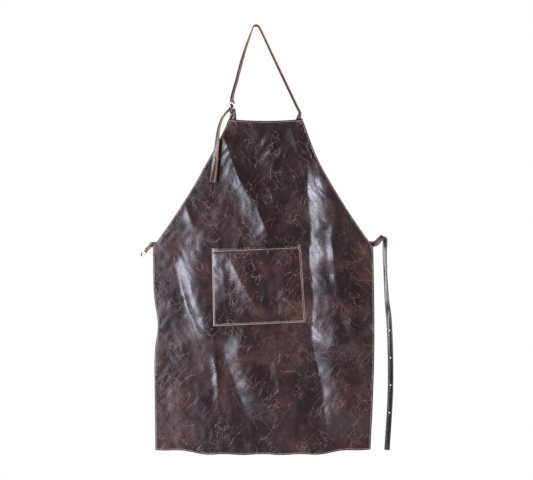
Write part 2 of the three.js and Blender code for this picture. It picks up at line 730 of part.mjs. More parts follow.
function addTail() {
  const stations = strapStations(tailStops(), 3);
  const holes = TAIL_HOLES.map((d) => punch(stationFromEnd(stations, d), HOLE_DIAMETER));
  const run = [...stations.slice(1, -1), stationFromEnd(stations, STRAP_STITCH)];
  piece("neck_tail_outer", cut(outerLayer(stations, NECK_STRAP), ...holes), strapLeather, apron);
  piece("neck_tail_lining", cut(liningLayer(stations, NECK_STRAP), ...holes), leatherLining, apron);
  piece("neck_tail_thread", strapThread(run, NECK_STRAP), thread, apron);
}

function addBuckle(prefix, place, strapWidth, length) {
  const add = (name, geometry) => piece(`${prefix}_buckle_${name}`, geometry.applyMatrix4(place), nickel, apron);
  add("frame", buckleFrame(strapWidth, length));
  add("roller", buckleRoller(strapWidth, length));
  add("prong", buckleProng(length));
}

function addLoops() {
  const clearOfBib = NECK_BUCKLE_RISE - 3 - 0.13 * NECK_STRAP;
  const chape = buckleLoop(NECK_STRAP, clearOfBib / Math.cos(NECK_BUCKLE_LEAN));
  piece("neck_chape", chape.applyMatrix4(neckPlace), leatherFace, apron);
  piece("waist_tab", buckleLoop(WAIST_STRAP, TAB_LENGTH).applyMatrix4(waistPlace), leatherFace, apron);
}

function addSewnEnds() {
  const bibLine = sewnUpright(bibRight - 0.6 * NECK_STRAP, NECK_STRAP, strapThickness);
  const chapeLine = sewnUpright(bibLeft + 0.6 * NECK_STRAP, NECK_STRAP, loopThickness);
  const rightLine = sewnAcross(rightCorner.x - SEWN_LENGTH, rightCorner.x + 1, rightCorner.z, WAIST_STRAP);
  const leftLine = sewnAcross(leftCorner.x - 1, leftCorner.x + SEWN_LENGTH, leftCorner.z, WAIST_STRAP);
  piece("neck_strap_end", bibLine, strapLeather, apron);
  piece("neck_chape_end", chapeLine, leatherFace, apron);
  piece("waist_strap_end", rightLine, strapLeather, apron);
  piece("waist_tab_end", leftLine, leatherFace, apron);
}

function addWaistStrap() {
  const root = strapStations(waistRootStops(), 4);
  piece("waist_root_outer", liningLayer(root, WAIST_STRAP), strapLeather, apron);
  piece("waist_root_lining", outerLayer(root, WAIST_STRAP), leatherLining, apron);
  piece("waist_root_thread", strapThread(root.slice(1, -1).reverse(), WAIST_STRAP, -1), thread, apron);
  const fall = strapStations(waistStrapStops(), 3);
  const holes = WAIST_STRAP_HOLES.map((d) => punch(stationFromEnd(fall, d), HOLE_DIAMETER));
  const run = [...fall.slice(3, -1), stationFromEnd(fall, STRAP_STITCH)];
  piece("waist_strap_outer", cut(liningLayer(fall, WAIST_STRAP), ...holes), strapLeather, apron);
  piece("waist_strap_lining", cut(outerLayer(fall, WAIST_STRAP), ...holes), leatherLining, apron);
  piece("waist_strap_thread", strapThread(run, WAIST_STRAP), thread, apron);
}

addPanel();
addPocket();
addNeckStrap();
addTail();
addLoops();
addSewnEnds();
addBuckle("neck", neckPlace, NECK_STRAP, NECK_BUCKLE_LENGTH);
addWaistStrap();
addBuckle("waist", waistPlace, WAIST_STRAP, WAIST_BUCKLE_LENGTH);

export default apron;
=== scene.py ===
# %% [markdown]
# A leather welding apron on its peg. The packed model gives the places and the moving bodies; this
# script gives the apron its leather, its folds, its stitching and its buckles.
#
# Everything is in metres, in one shared frame: +Z is up, the front faces -Y, and the origin is the
# underside of the neck strap where it crosses the peg.

# %% Load the frame
import math
import bmesh
import bpy
import numpy as np
from mathutils import Matrix, Vector


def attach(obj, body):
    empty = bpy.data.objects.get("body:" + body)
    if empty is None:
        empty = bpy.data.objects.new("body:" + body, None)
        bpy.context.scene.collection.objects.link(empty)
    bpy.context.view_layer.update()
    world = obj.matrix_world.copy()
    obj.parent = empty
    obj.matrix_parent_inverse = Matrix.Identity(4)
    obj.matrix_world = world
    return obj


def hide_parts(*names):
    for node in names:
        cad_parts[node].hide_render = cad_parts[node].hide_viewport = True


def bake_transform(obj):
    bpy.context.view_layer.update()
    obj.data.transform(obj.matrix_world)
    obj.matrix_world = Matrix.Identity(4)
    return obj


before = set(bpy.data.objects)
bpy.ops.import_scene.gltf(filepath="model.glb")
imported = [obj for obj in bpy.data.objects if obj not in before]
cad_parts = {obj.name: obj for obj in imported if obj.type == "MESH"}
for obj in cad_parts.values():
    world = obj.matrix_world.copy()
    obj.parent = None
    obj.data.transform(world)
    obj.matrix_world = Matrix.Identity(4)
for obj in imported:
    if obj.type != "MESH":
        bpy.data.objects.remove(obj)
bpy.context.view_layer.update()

# %% [markdown]
# The camera comes first. The apron hangs flat and is seen square on, from far enough away that the
# two sides of the straps look the same. The strap at the top and the hem at the bottom both need a
# little air, so the camera looks at a point a bit below the waist.

# %% Camera
camera = bpy.data.objects.new("camera", bpy.data.cameras.new("camera"))
bpy.context.collection.objects.link(camera)
LENS = 85.0
SEEN_WIDTH = 1.4498
camera.data.lens = LENS
camera.data.sensor_width = 36.0
camera.location = (0.028, -SEEN_WIDTH * LENS / 36.0, -0.582)
camera.rotation_euler = (math.pi / 2, 0, 0)
bpy.context.scene.camera = camera
print("camera distance", round(-camera.location.y, 2), "m")

# %% [markdown]
# Dark glossy leather is drawn by what it reflects. One tall soft light stands far off on the left,
# so that every fold face that leans left carries a long pale reflection and every other face stays
# dark. A second one, square to the side, catches the steep faces of the straps. A weak light from the
# right keeps the shadows open, and one behind shows the flesh side. The room is white behind the
# apron, but lights it only a little.

# %% Lights, room and floor
def area_light(name, place, aim, size, power, colour):
    data = bpy.data.lights.new(name, "AREA")
    data.shape = "RECTANGLE"
    data.size, data.size_y = size
    data.energy = power
    data.color = colour
    light = bpy.data.objects.new(name, data)
    bpy.context.collection.objects.link(light)
    light.location = place
    light.rotation_euler = (Vector(aim) - Vector(place)).to_track_quat("-Z", "Y").to_euler()
    return light


area_light("tall_window", (-3.8, -6.0, -0.4), (0, 0, -0.6), (2.1, 3.8), 450, (0.82, 0.85, 1.0))
area_light("side_window", (-3.2, 0.7, -0.4), (0.2, 0, -0.6), (1.6, 2.6), 130, (0.86, 0.92, 1.0))
area_light("fill", (3.4, -1.5, 0.5), (0, 0, -0.6), (1.8, 1.8), 45, (1.0, 0.93, 0.9))
area_light("back_fill", (1.6, 4.0, 0.4), (0, 0, -0.6), (2.0, 2.0), 90, (1.0, 0.96, 0.92))

print("lights", [light.name for light in bpy.data.lights])

# %% The room
world = bpy.data.worlds.new("room")
bpy.context.scene.world = world
world.use_nodes = True
room = world.node_tree
room.nodes.clear()
out = room.nodes.new("ShaderNodeOutputWorld")
seen = room.nodes.new("ShaderNodeBackground")
lighting = room.nodes.new("ShaderNodeBackground")
mix = room.nodes.new("ShaderNodeMixShader")
path = room.nodes.new("ShaderNodeLightPath")
seen.inputs["Color"].default_value = (1, 1, 1, 1)
lighting.inputs["Color"].default_value = (1, 1, 1, 1)
lighting.inputs["Strength"].default_value = 0.11
room.links.new(path.outputs["Is Camera Ray"], mix.inputs["Fac"])
room.links.new(lighting.outputs[0], mix.inputs[1])
room.links.new(seen.outputs[0], mix.inputs[2])
room.links.new(mix.outputs[0], out.inputs["Surface"])
bpy.context.scene.view_settings.view_transform = "Standard"

print("room light", round(lighting.inputs["Strength"].default_value, 2))

# %% The floor and two helpers
def new_material(name):
    material = bpy.data.materials.new(name)
    material.use_nodes = True
    return material, material.node_tree, material.node_tree.nodes["Principled BSDF"]


def object_from(name, points, faces, materials=()):
    mesh = bpy.data.meshes.new(name)
    mesh.from_pydata([tuple(p) for p in points], [], [tuple(f) for f in faces])
    mesh.update()
    made = bpy.data.objects.new(name, mesh)
    bpy.context.collection.objects.link(made)
    for material in materials:
        mesh.materials.append(material)
    return made


floor_paint, _, shader = new_material("floor_paint")
shader.inputs["Base Color"].default_value = (0.86, 0.86, 0.85, 1)
shader.inputs["Roughness"].default_value = 0.7
FLOOR = -1.9
floor = object_from(
    "floor", [(-2.5, -2.5, FLOOR), (2.5, -2.5, FLOOR), (2.5, 2.5, FLOOR), (-2.5, 2.5, FLOOR)],
    [(0, 1, 2, 3)], [floor_paint]
)
print("floor at", FLOOR)

# %% [markdown]
# Waxed pull-up leather is dark where it lies flat and paler and redder where it has been bent, so
# its colour comes from three sizes of pattern: broad clouds, small mottling, and thin broken creases
# that run across it like veins. All leather pieces need the same pattern, so it is one node group.
# It puts out a colour, a roughness and a height, and each material keeps its own shader.

# %% Node helpers
def group_with(name, inputs, outputs):
    tree = bpy.data.node_groups.new(name, "ShaderNodeTree")
    for label, kind, value in inputs:
        socket = tree.interface.new_socket(label, in_out="INPUT", socket_type=kind)
        if value is not None:
            socket.default_value = value
    for label, kind in outputs:
        tree.interface.new_socket(label, in_out="OUTPUT", socket_type=kind)
    return tree, tree.nodes.new("NodeGroupInput"), tree.nodes.new("NodeGroupOutput")


class Wiring:
    """Short names for adding nodes to one tree."""

    def __init__(self, tree):
        self.tree = tree

    def add(self, kind, **settings):
        node = self.tree.nodes.new(kind)
        for key, value in settings.items():
            setattr(node, key, value)
        return node

    def put(self, value, socket):
        if isinstance(value, bpy.types.NodeSocket):
            self.tree.links.new(value, socket)
        else:
            socket.default_value = value

    def math(self, operation, a, b=0.5, clamp=False):
        node = self.add("ShaderNodeMath", operation=operation, use_clamp=clamp)
        self.put(a, node.inputs[0])
        self.put(b, node.inputs[1])
        return node.outputs[0]

    def fit(self, value, low, high, to_low=0.0, to_high=1.0, smooth=True):
        node = self.add(
            "ShaderNodeMapRange", interpolation_type="SMOOTHSTEP" if smooth else "LINEAR"
        )
        for key, number in zip(
            ("Value", "From Min", "From Max", "To Min", "To Max"),
            (value, low, high, to_low, to_high)
        ):
            self.put(number, node.inputs[key])
        return node.outputs[0]

    def noise(self, vector, scale, detail=4.0, roughness=0.55, distortion=0.0):
        node = self.add("ShaderNodeTexNoise")
        self.put(vector, node.inputs["Vector"])
        for key, number in zip(
            ("Scale", "Detail", "Roughness", "Distortion"), (scale, detail, roughness, distortion)
        ):
            self.put(number, node.inputs[key])
        return node.outputs["Fac"]

    def blend(self, share, a, b, kind="MIX"):
        node = self.add("ShaderNodeMix", data_type="RGBA", blend_type=kind)
        self.put(share, node.inputs[0])
        self.put(a, node.inputs[6])
        self.put(b, node.inputs[7])
        return node.outputs[2]

    def shifted(self, vector, amount, scale):
        """The vector pushed about by noise, so that straight patterns wander."""
        noise = self.add("ShaderNodeTexNoise")
        self.put(vector, noise.inputs["Vector"])
        self.put(scale, noise.inputs["Scale"])
        self.put(3.0, noise.inputs["Detail"])
        scaled = self.add("ShaderNodeVectorMath", operation="MULTIPLY_ADD")
        self.put(noise.outputs["Color"], scaled.inputs[0])
        scaled.inputs[1].default_value = (amount, amount, amount)
        self.put(vector, scaled.inputs[2])
        return scaled.outputs[0]

    def stretched(self, vector, angle, share):
        """The vector turned in the plane of the panel and drawn out along its new height."""
        node = self.add("ShaderNodeMapping", vector_type="TEXTURE")
        self.put(vector, node.inputs["Vector"])
        node.inputs["Rotation"].default_value = (0, angle, 0)
        node.inputs["Scale"].default_value = (1, 1, 1 / share)
        return node.outputs[0]

    def creases(self, vector, scale, width):
        """Thin lines between cells, 1 on the line."""
        node = self.add("ShaderNodeTexVoronoi", feature="DISTANCE_TO_EDGE")
        self.put(vector, node.inputs["Vector"])
        self.put(scale, node.inputs["Scale"])
        return self.fit(node.outputs["Distance"], 0.0, width, 1.0, 0.0)

print("node helpers", [name for name in vars(Wiring) if not name.startswith("_")])

# %% The leather pattern
leather_pattern, given, result = group_with(
    "leather_pattern",
    [
        ("Place", "NodeSocketVector", None),
        ("Deep", "NodeSocketColor", (0.028, 0.0165, 0.0165, 1)),
        ("Worn", "NodeSocketColor", (0.085, 0.045, 0.041, 1)),
        ("Crease", "NodeSocketColor", (0.27, 0.15, 0.125, 1)),
        ("Size", "NodeSocketFloat", 1.0),
    ],
    [
        ("Color", "NodeSocketColor"), ("Roughness", "NodeSocketFloat"),
        ("Height", "NodeSocketFloat")
    ],
)
w = Wiring(leather_pattern)
sized = w.add("ShaderNodeVectorMath", operation="SCALE")
w.put(given.outputs["Place"], sized.inputs[0])
w.put(given.outputs["Size"], sized.inputs["Scale"])
place = sized.outputs[0]
clouds = w.fit(w.noise(place, 6.0, 4.0, 0.62, 0.8), 0.4, 0.64)
mottle = w.fit(w.noise(w.shifted(place, 0.03, 20.0), 34.0, 6.0, 0.68, 0.6), 0.42, 0.66)
tone = w.math(
    "ADD", w.math("MULTIPLY", clouds, 0.4),
    w.math("MULTIPLY", w.math("MULTIPLY", mottle, clouds), 0.6)
)
jagged = w.shifted(w.shifted(place, 0.022, 13.0), 0.006, 80.0)
web = w.math(
    "MULTIPLY", w.creases(jagged, 64.0, 0.04), w.fit(w.noise(place, 15.0, 4.0, 0.65), 0.46, 0.64)
)
rising = w.math(
    "MULTIPLY", w.creases(w.stretched(jagged, 0.62, 0.24), 56.0, 0.028),
    w.fit(w.noise(place, 13.0, 4.0, 0.6), 0.5, 0.62)
)
falling = w.math(
    "MULTIPLY", w.creases(w.stretched(jagged, -0.85, 0.25), 46.0, 0.024),
    w.fit(w.noise(jagged, 12.0, 4.0, 0.6), 0.5, 0.62)
)
lines = w.math("MAXIMUM", w.math("MULTIPLY", web, 0.75), w.math("MAXIMUM", rising, falling))
lines = w.math("MULTIPLY", lines, w.fit(w.noise(place, 160.0, 3.0, 0.6), 0.3, 0.6, 0.25, 1.0))
grain_cells = w.add("ShaderNodeTexVoronoi", feature="F1")
w.put(place, grain_cells.inputs["Vector"])
w.put(620.0, grain_cells.inputs["Scale"])
grain = grain_cells.outputs["Distance"]
colour = w.blend(tone, given.outputs["Deep"], given.outputs["Worn"])
colour = w.blend(w.math("MULTIPLY", lines, 0.5), colour, given.outputs["Crease"])
w.put(colour, result.inputs["Color"])
dull = w.fit(w.noise(w.stretched(place, 0.1, 0.5), 30.0, 5.0, 0.65), 0.35, 0.7, 0.22, 0.38)
w.put(w.math("ADD", dull, w.math("MULTIPLY", lines, 0.12)), result.inputs["Roughness"])
bumps = w.math(
    "ADD", w.math("MULTIPLY", w.noise(place, 70.0, 4.0, 0.6), 0.55),
    w.math("MULTIPLY", w.noise(w.stretched(place, 0.15, 0.5), 30.0, 3.0, 0.5), 0.35)
)
bumps = w.math("ADD", bumps, w.math("MULTIPLY", w.noise(jagged, 230.0, 4.0, 0.7), 0.12))
height = w.math("SUBTRACT", bumps, w.math("MULTIPLY", lines, 0.45))
w.put(w.math("ADD", height, w.math("MULTIPLY", grain, 0.12)), result.inputs["Height"])
print("leather pattern nodes", len(leather_pattern.nodes))

# %% [markdown]
# Other materials use it or stand beside it: the panel's grain side, the straps' leather in two
# shades, the fuzzy flesh side of the hide, the tan raw edge where a knife went through it, and the
# waxed thread, pale on most pieces and dark on the neck strap and the waist strap. On the hanging
# waist strap both the near-black leather and the dark thread are painted shade. Numbers that are
# the same all over a surface sit on the shader itself.

# %% The leathers
def leather_material(name, deep, worn, crease, size, gloss, relief, shine=0.5):
    material, tree, shader = new_material(name)
    w = Wiring(tree)
    at = w.add("ShaderNodeTexCoord").outputs["Object"]
    pattern = w.add("ShaderNodeGroup", node_tree=leather_pattern)
    w.put(at, pattern.inputs["Place"])
    pattern.inputs["Deep"].default_value = (*deep, 1)
    pattern.inputs["Worn"].default_value = (*worn, 1)
    pattern.inputs["Crease"].default_value = (*crease, 1)
    pattern.inputs["Size"].default_value = size
    bump = w.add("ShaderNodeBump")
    bump.inputs["Strength"].default_value = relief
    bump.inputs["Distance"].default_value = 0.0016
    w.put(pattern.outputs["Height"], bump.inputs["Height"])
    w.put(pattern.outputs["Color"], shader.inputs["Base Color"])
    w.put(pattern.outputs["Roughness"], shader.inputs["Roughness"])
    w.put(bump.outputs[0], shader.inputs["Normal"])
    shader.inputs["Specular IOR Level"].default_value = shine
    shader.inputs["Coat Weight"].default_value = gloss
    shader.inputs["Coat Roughness"].default_value = 0.24
    return material


panel_leather = leather_material(
    "waxed_brown_leather", (0.023, 0.0112, 0.0135), (0.1, 0.047, 0.041), (0.42, 0.22, 0.18), 1.0,
    0.35, 0.5
)
strap_leather = leather_material(
    "strap_leather", (0.03, 0.0145, 0.0165), (0.085, 0.04, 0.037), (0.2, 0.12, 0.09), 1.6, 0.06,
    0.3, 0.3
)
# Near-black copy of the strap leather: on the hanging waist strap it is painted shade, where the
# strap turns away from the light. The neck chape is made of it too.
dark_strap_leather = leather_material(
    "dark_strap_leather", (0.014, 0.0085, 0.009), (0.034, 0.019, 0.018), (0.1, 0.06, 0.05), 1.6,
    0.3, 0.3
)

print("leathers", [m.name for m in (panel_leather, strap_leather, dark_strap_leather)])

# %% The flesh side
flesh_side, tree, shader = new_material("flesh_side")
w = Wiring(tree)
at = w.add("ShaderNodeTexCoord").outputs["Object"]
nap = w.noise(at, 420.0, 3.0, 0.7)
patches = w.fit(w.noise(w.shifted(at, 0.05, 8.0), 9.0, 6.0, 0.7), 0.38, 0.64)
suede = w.blend(patches, (0.09, 0.052, 0.04, 1), (0.19, 0.118, 0.086, 1))
w.put(
    w.blend(w.math("MULTIPLY", nap, 0.5), suede, (0.26, 0.17, 0.13, 1)),
    shader.inputs["Base Color"]
)
w.put(w.fit(nap, 0.3, 0.7, 0.75, 0.95), shader.inputs["Roughness"])
bump = w.add("ShaderNodeBump")
bump.inputs["Strength"].default_value = 0.4
bump.inputs["Distance"].default_value = 0.0008
w.put(nap, bump.inputs["Height"])
w.put(bump.outputs[0], shader.inputs["Normal"])
shader.inputs["Sheen Weight"].default_value = 0.3

print("flesh side nodes", len(tree.nodes))

# %% Cut edges
def cut_edge_material(name, dark, light):
    material, tree, shader = new_material(name)
    w = Wiring(tree)
    fibre = w.noise(w.add("ShaderNodeTexCoord").outputs["Object"], 300.0, 4.0, 0.65)
    w.put(w.blend(w.fit(fibre, 0.3, 0.7), (*dark, 1), (*light, 1)), shader.inputs["Base Color"])
    shader.inputs["Roughness"].default_value = 0.6
    bump = w.add("ShaderNodeBump")
    bump.inputs["Strength"].default_value = 0.3
    bump.inputs["Distance"].default_value = 0.0005
    w.put(fibre, bump.inputs["Height"])
    w.put(bump.outputs[0], shader.inputs["Normal"])
    return material


raw_edge = cut_edge_material("raw_edge", (0.5, 0.21, 0.07), (0.85, 0.46, 0.2))
pocket_edge = cut_edge_material("pocket_edge", (0.62, 0.4, 0.28), (0.95, 0.72, 0.54))

print("edges", raw_edge.name, pocket_edge.name)

# %% Thread
def thread_material(name, dark, light):
    material, tree, shader = new_material(name)
    w = Wiring(tree)
    wear = w.fit(w.noise(w.add("ShaderNodeTexCoord").outputs["Object"], 90.0, 2.0, 0.5), 0.35, 0.7)
    w.put(w.blend(wear, (*dark, 1), (*light, 1)), shader.inputs["Base Color"])
    shader.inputs["Roughness"].default_value = 0.55
    shader.inputs["Sheen Weight"].default_value = 0.2
    return material


waxed_thread = thread_material("waxed_thread", (0.78, 0.6, 0.48), (0.98, 0.86, 0.74))
# Dark brown thread for the neck strap and the waist strap; on the waist strap the dark is painted
# shade.
dark_thread = thread_material("dark_thread", (0.12, 0.07, 0.05), (0.3, 0.19, 0.14))
print("materials", [m.name for m in bpy.data.materials])

# %% [markdown]
# The buckles are nickel-plated wire. Plating that has been handled is never an even mirror, so its
# roughness is broken up by fine noise, and a little brown sits where dirt collects.

# %% Nickel
nickel, tree, shader = new_material("nickel_plate")
w = Wiring(tree)
at = w.add("ShaderNodeTexCoord").outputs["Object"]
smear = w.noise(at, 220.0, 4.0, 0.6)
w.put(
    w.blend(w.fit(smear, 0.35, 0.75), (0.78, 0.76, 0.72, 1), (0.6, 0.56, 0.5, 1)),
    shader.inputs["Base Color"]
)
w.put(w.fit(smear, 0.3, 0.8, 0.16, 0.34), shader.inputs["Roughness"])
shader.inputs["Metallic"].default_value = 1.0
print("nickel ready")

# %% [markdown]
# The panel's outline is the same rule as in the model: a bib whose armhole edges swing out to the
# waist corners, then a skirt that narrows slightly to the hem. Each size is a plain value in metres.

# %% Sizes
MM = 0.001
BIB_DROP, BIB_WIDTH, BIB_HEIGHT = 252.6 * MM, 201.6 * MM, 349 * MM
WAIST_WIDTH, SKIRT_HEIGHT, HEM_WIDTH = 601 * MM, 553 * MM, 587 * MM
BIB_CENTRE, SKIRT_CENTRE = 25.7 * MM, 18.5 * MM
BIB_SLOPE, WAIST_SLOPE = 0.36, 0.74
BIB_SAG, HEM_DIP, SIDE_TUCK, SIDE_SWELL = 5 * MM, 11.5 * MM, 11 * MM, 6 * MM
LEATHER = 1.8 * MM
HEM_TURN = 10 * MM
FRONT, SLACK, SIDE_FALL = -4 * MM, 4 * MM, 11 * MM
FLAT_MARGIN, SIDE_REACH = 0.014, 0.19
bib_top = -BIB_DROP
waist = bib_top - BIB_HEIGHT
hem = waist - SKIRT_HEIGHT

print("bib top, waist, hem", round(bib_top, 4), round(waist, 4), round(hem, 4))

# %% The panel's outline
def smoothstep(x, low, high):
    t = np.clip((np.asarray(x, float) - low) / (high - low), 0, 1)
    return t * t * (3 - 2 * t)


def bell(distance, width):
    return np.exp(-((np.asarray(distance, float) / width) ** 2))


def lerp(a, b, t):
    return a + (b - a) * t


def half_width(z):
    z = np.asarray(z, float)
    t = np.clip((bib_top - z) / BIB_HEIGHT, 0, 1)
    a, d, third = BIB_WIDTH / 2, WAIST_WIDTH / 2, BIB_HEIGHT / 3
    b, c = a + BIB_SLOPE * third, d - WAIST_SLOPE * third
    u = 1 - t
    bib = u**3 * a + 3 * u * u * t * b + 3 * u * t * t * c + t**3 * d
    return np.where(z <= waist, lerp(WAIST_WIDTH, HEM_WIDTH, (waist - z) / SKIRT_HEIGHT) / 2, bib)


def centre_line(z):
    return lerp(BIB_CENTRE, SKIRT_CENTRE, smoothstep((bib_top - z) / BIB_HEIGHT, 0, 0.4))


def left_edge(z):
    z = np.asarray(z, float)
    tuck = SIDE_TUCK * bell(z - (waist - 0.38 * SKIRT_HEIGHT), 0.055)
    return centre_line(z) - half_width(z) + np.where(z < waist, tuck, 0)


def right_edge(z):
    z = np.asarray(z, float)
    swell = SIDE_SWELL * np.sin(np.pi * np.clip((waist - z) / SKIRT_HEIGHT, 0, 1))
    return centre_line(z) + half_width(z) + swell


print("bib from", float(left_edge(bib_top)), "to", float(right_edge(bib_top)))

# %% [markdown]
# Thick leather doesn't ripple like cloth: it takes a few long, soft folds that run down from where
# it is held, with a sharp valley on one side and a slow slope on the other. Each fold is a line with
# a height, the width of its rising face and the width of its falling face. A cloth simulation at
# this size would give folds of its own choosing, so these are listed one by one, and small wrinkles
# come from sine waves that are bent by one another.

# %% Folds
POCKET_MOUTH, POCKET_BASE, POCKET_DEPTH = 241 * MM, 250.5 * MM, 211.5 * MM
POCKET_X, POCKET_Z = 4.6 * MM, waist - 103 * MM
POCKET_TILT = math.radians(2.45)

# (from x, z), (to x, z), height, rising width, falling width, all in millimetres. "valley" folds
# have their sharp line at the foot of the rise and "crest" folds at its top.
FOLDS = [
    ("crest", (-96, -285), (-26, -452), 6.8, 62, 24),
    ("crest", (-28, -430), (50, -592), 7.4, 68, 30),
    ("valley", (140, -385), (148, -640), 16, 80, 84),
    ("valley", (147, -600), (153, -880), 17, 82, 84),
    ("valley", (152, -850), (196, -1100), 13, 68, 74),
    ("crest", (206, -545), (214, -700), 4, 20, 18),
    ("crest", (-186, -494), (-172, -538), 5.5, 34, 12),
    ("valley", (-224, -646), (-152, -868), 6, 29, 52),
    ("crest", (-30, -800), (-52, -905), 6, 90, 50),
    ("crest", (-112, -892), (-104, -1012), 4, 22, 12),
    ("valley", (-92, -880), (-20, -1062), 7.5, 44, 50),
    ("crest", (48, -915), (70, -1010), 4, 34, 28),
    ("valley", (226, -775), (292, -985), 7.5, 38, 46),
    ("crest", (292, -640), (262, -770), 3, 34, 30),
    ("crest", (40, -290), (24, -334), 5, 26, 16),
    ("crest", (98, -276), (106, -318), 3.5, 20, 12),
]

print("folds", len(FOLDS))

# %% The height of a fold
def fold_height(x, z, kind, start, end, height, rise, fall):
    (x0, z0), (x1, z1) = [(a * MM, b * MM) for a, b in (start, end)]
    dx, dz = x1 - x0, z1 - z0
    length = math.hypot(dx, dz)
    along = ((x - x0) * dx + (z - z0) * dz) / length
    side = ((x - x0) * -dz + (z - z0) * dx) / length
    side = side + 0.0025 * np.sin(along * 30 + x0 * 90) + 0.0008 * np.sin(along * 117 + z0 * 50)
    ends = smoothstep(along, -0.035, 0.05) * (1 - smoothstep(along, length - 0.05, length + 0.04))
    rise, fall = rise * MM, fall * MM
    if kind == "valley":
        up = np.sin(np.clip(side / rise, 0, 1) * np.pi / 2)
        down = bell(np.maximum(side - rise, 0), fall)
    else:
        up = 1 - np.sin(np.clip(-side / rise, 0, 1) * np.pi / 2)
        down = np.exp(-np.maximum(side, 0) / (0.7 * fall))
    return height * MM * up * down * ends

print("tallest fold", max(fold[3] for fold in FOLDS), "mm")

# %% Wrinkles and the fall to the sides
def wrinkles(x, z):
    """Small uneven waves, a millimetre or less, that run mostly downwards."""
    a = x + 0.012 * np.sin(z * 31 + 1.3) + 0.006 * np.sin(z * 83)
    b = z + 0.014 * np.sin(x * 37 + 0.4) + 0.006 * np.sin(x * 71 + 2)
    broad = np.sin(a * 95 + 2.2 * np.sin(b * 17)) * np.sin(b * 24 + 1.1)
    small = np.sin(a * 210 + 3 * np.sin(b * 29 + 0.7)) * np.sin(b * 67 + a * 40)
    cross = np.sin(b * 150 + 2.5 * np.sin(a * 45)) * np.sin(a * 60 + 0.5)
    fine = np.sin(a * 420 + 4 * np.sin(b * 90)) * np.sin(b * 260 + 3 * np.sin(a * 120))
    return MM * (0.4 * broad + 0.24 * small + 0.2 * cross + 0.13 * fine)


def side_share(past_x):
    """How much of the fall towards the panel's sides is reached, an even slope with a soft start."""
    return np.clip(np.asarray(past_x, float) / SIDE_REACH, 0, 1) ** 1.2

print("side share half way", round(float(side_share(SIDE_REACH / 2)), 3))

# %% Where the front hangs
def front_y(x, z):
    """How far forward or back the panel's grain side hangs."""
    x, z = np.asarray(x, float), np.asarray(z, float)
    past_x = np.abs(x - POCKET_X) - POCKET_BASE / 2 - FLAT_MARGIN
    past_z = np.abs(z - POCKET_Z) - POCKET_DEPTH / 2 - FLAT_MARGIN
    past = np.hypot(np.maximum(past_x, 0), np.maximum(past_z, 0))
    fall = SLACK * smoothstep(past, 0, 0.07) + SIDE_FALL * side_share(past_x) * np.where(
        x < POCKET_X, 0.6, 1
    )
    forward = sum(fold_height(x, z, *fold) for fold in FOLDS)
    bunch = 3 * MM * bell(
        np.hypot(x - 0.042, (z + 0.34) * 0.8), 0.02
    ) * np.sin((x - 0.03) * 160 - z * 120)
    top = smoothstep(bib_top - z, 0.01, 0.05)
    return FRONT + fall - (
        forward - bunch + wrinkles(x, z) * (0.3 + 0.7 * top)
    ) * (0.25 + 0.75 * top)


print("front at the pocket", round(float(front_y(POCKET_X, POCKET_Z)), 4))

# %% [markdown]
# The panel is a fine grid between its edges. Its border is turned to the back and sewn down, so the
# mesh goes round the fold: the front bends back over the last two millimetres, the hem strip lies
# behind it, and the strip's own raw edge shows as a small step on the back.

# %% The panel
def border_distances():
    turn = [LEATHER * (1 - math.cos(k * math.pi / 8)) for k in range(5)]
    return [
        *turn, 0.0028, 0.0035, 0.004, 0.0045, 0.006, 0.008, HEM_TURN, HEM_TURN + 0.0003,
        HEM_TURN + 0.0022
    ]


def edge_round(distance):
    """How far the front lies behind its plane beside the folded edge."""
    inside = np.clip(distance / LEATHER, 0, 1)
    return LEATHER * (1 - np.sqrt(np.maximum(1 - (1 - inside) ** 2, 0)))


def sheet_grid(across_count, down_count):
    border = border_distances()
    inset = border[-1]
    rows = [bib_top - d for d in border]
    span = np.linspace(bib_top - inset, hem + inset, down_count + 1)[1:-1]
    rows = np.array([*rows, *span, *[hem + d for d in reversed(border)]])
    left, right = left_edge(rows), right_edge(rows)
    columns = [left + d for d in border]
    columns += [
        lerp(left + inset, right - inset, i / across_count) for i in range(1, across_count)
    ]
    columns += [right - d for d in reversed(border)]
    x = np.array(columns).T
    z = np.repeat(rows[:, None], x.shape[1], axis=1)
    distance = np.minimum(
        np.minimum(x - left[:, None], right[:, None] - x),
        np.minimum(bib_top - z, z - hem),
    )
    return x, z, distance


def worked_z(x, z):
    """The top edge sags between the corners that carry it, and the hem dips in the middle."""
    across = (x - centre_line(z)) / half_width(z)
    sag = BIB_SAG * (1 - across**2) * (1 - smoothstep(bib_top - z, 0.015, 0.06))
    flat = 1 - smoothstep(np.abs(across), 0.45, 0.85)
    dip = HEM_DIP * flat * (1 - smoothstep(z - hem, 0.015, 0.09))
    waver = 0.0012 * np.sin(x * 60 + 0.6) * (1 - smoothstep(z - hem, 0.01, 0.06))
    return z - sag - dip + waver

print("border steps", len(border_distances()))

# %% Faces, welding and shading
def grid_faces(rows, columns, start, flip=False):
    faces = []
    for r in range(rows - 1):
        for c in range(columns - 1):
            a = start + r * columns + c
            quad = (a, a + columns, a + columns + 1, a + 1)
            faces.append(quad[::-1] if flip else quad)
    return faces


def weld(piece, distance=1e-6):
    mesh = bmesh.new()
    mesh.from_mesh(piece.data)
    bmesh.ops.remove_doubles(mesh, verts=mesh.verts, dist=distance)
    bmesh.ops.recalc_face_normals(mesh, faces=mesh.faces)
    mesh.to_mesh(piece.data)
    mesh.free()
    return piece


def shade(piece, smooth=True):
    piece.data.polygons.foreach_set("use_smooth", [smooth] * len(piece.data.polygons))
    return piece

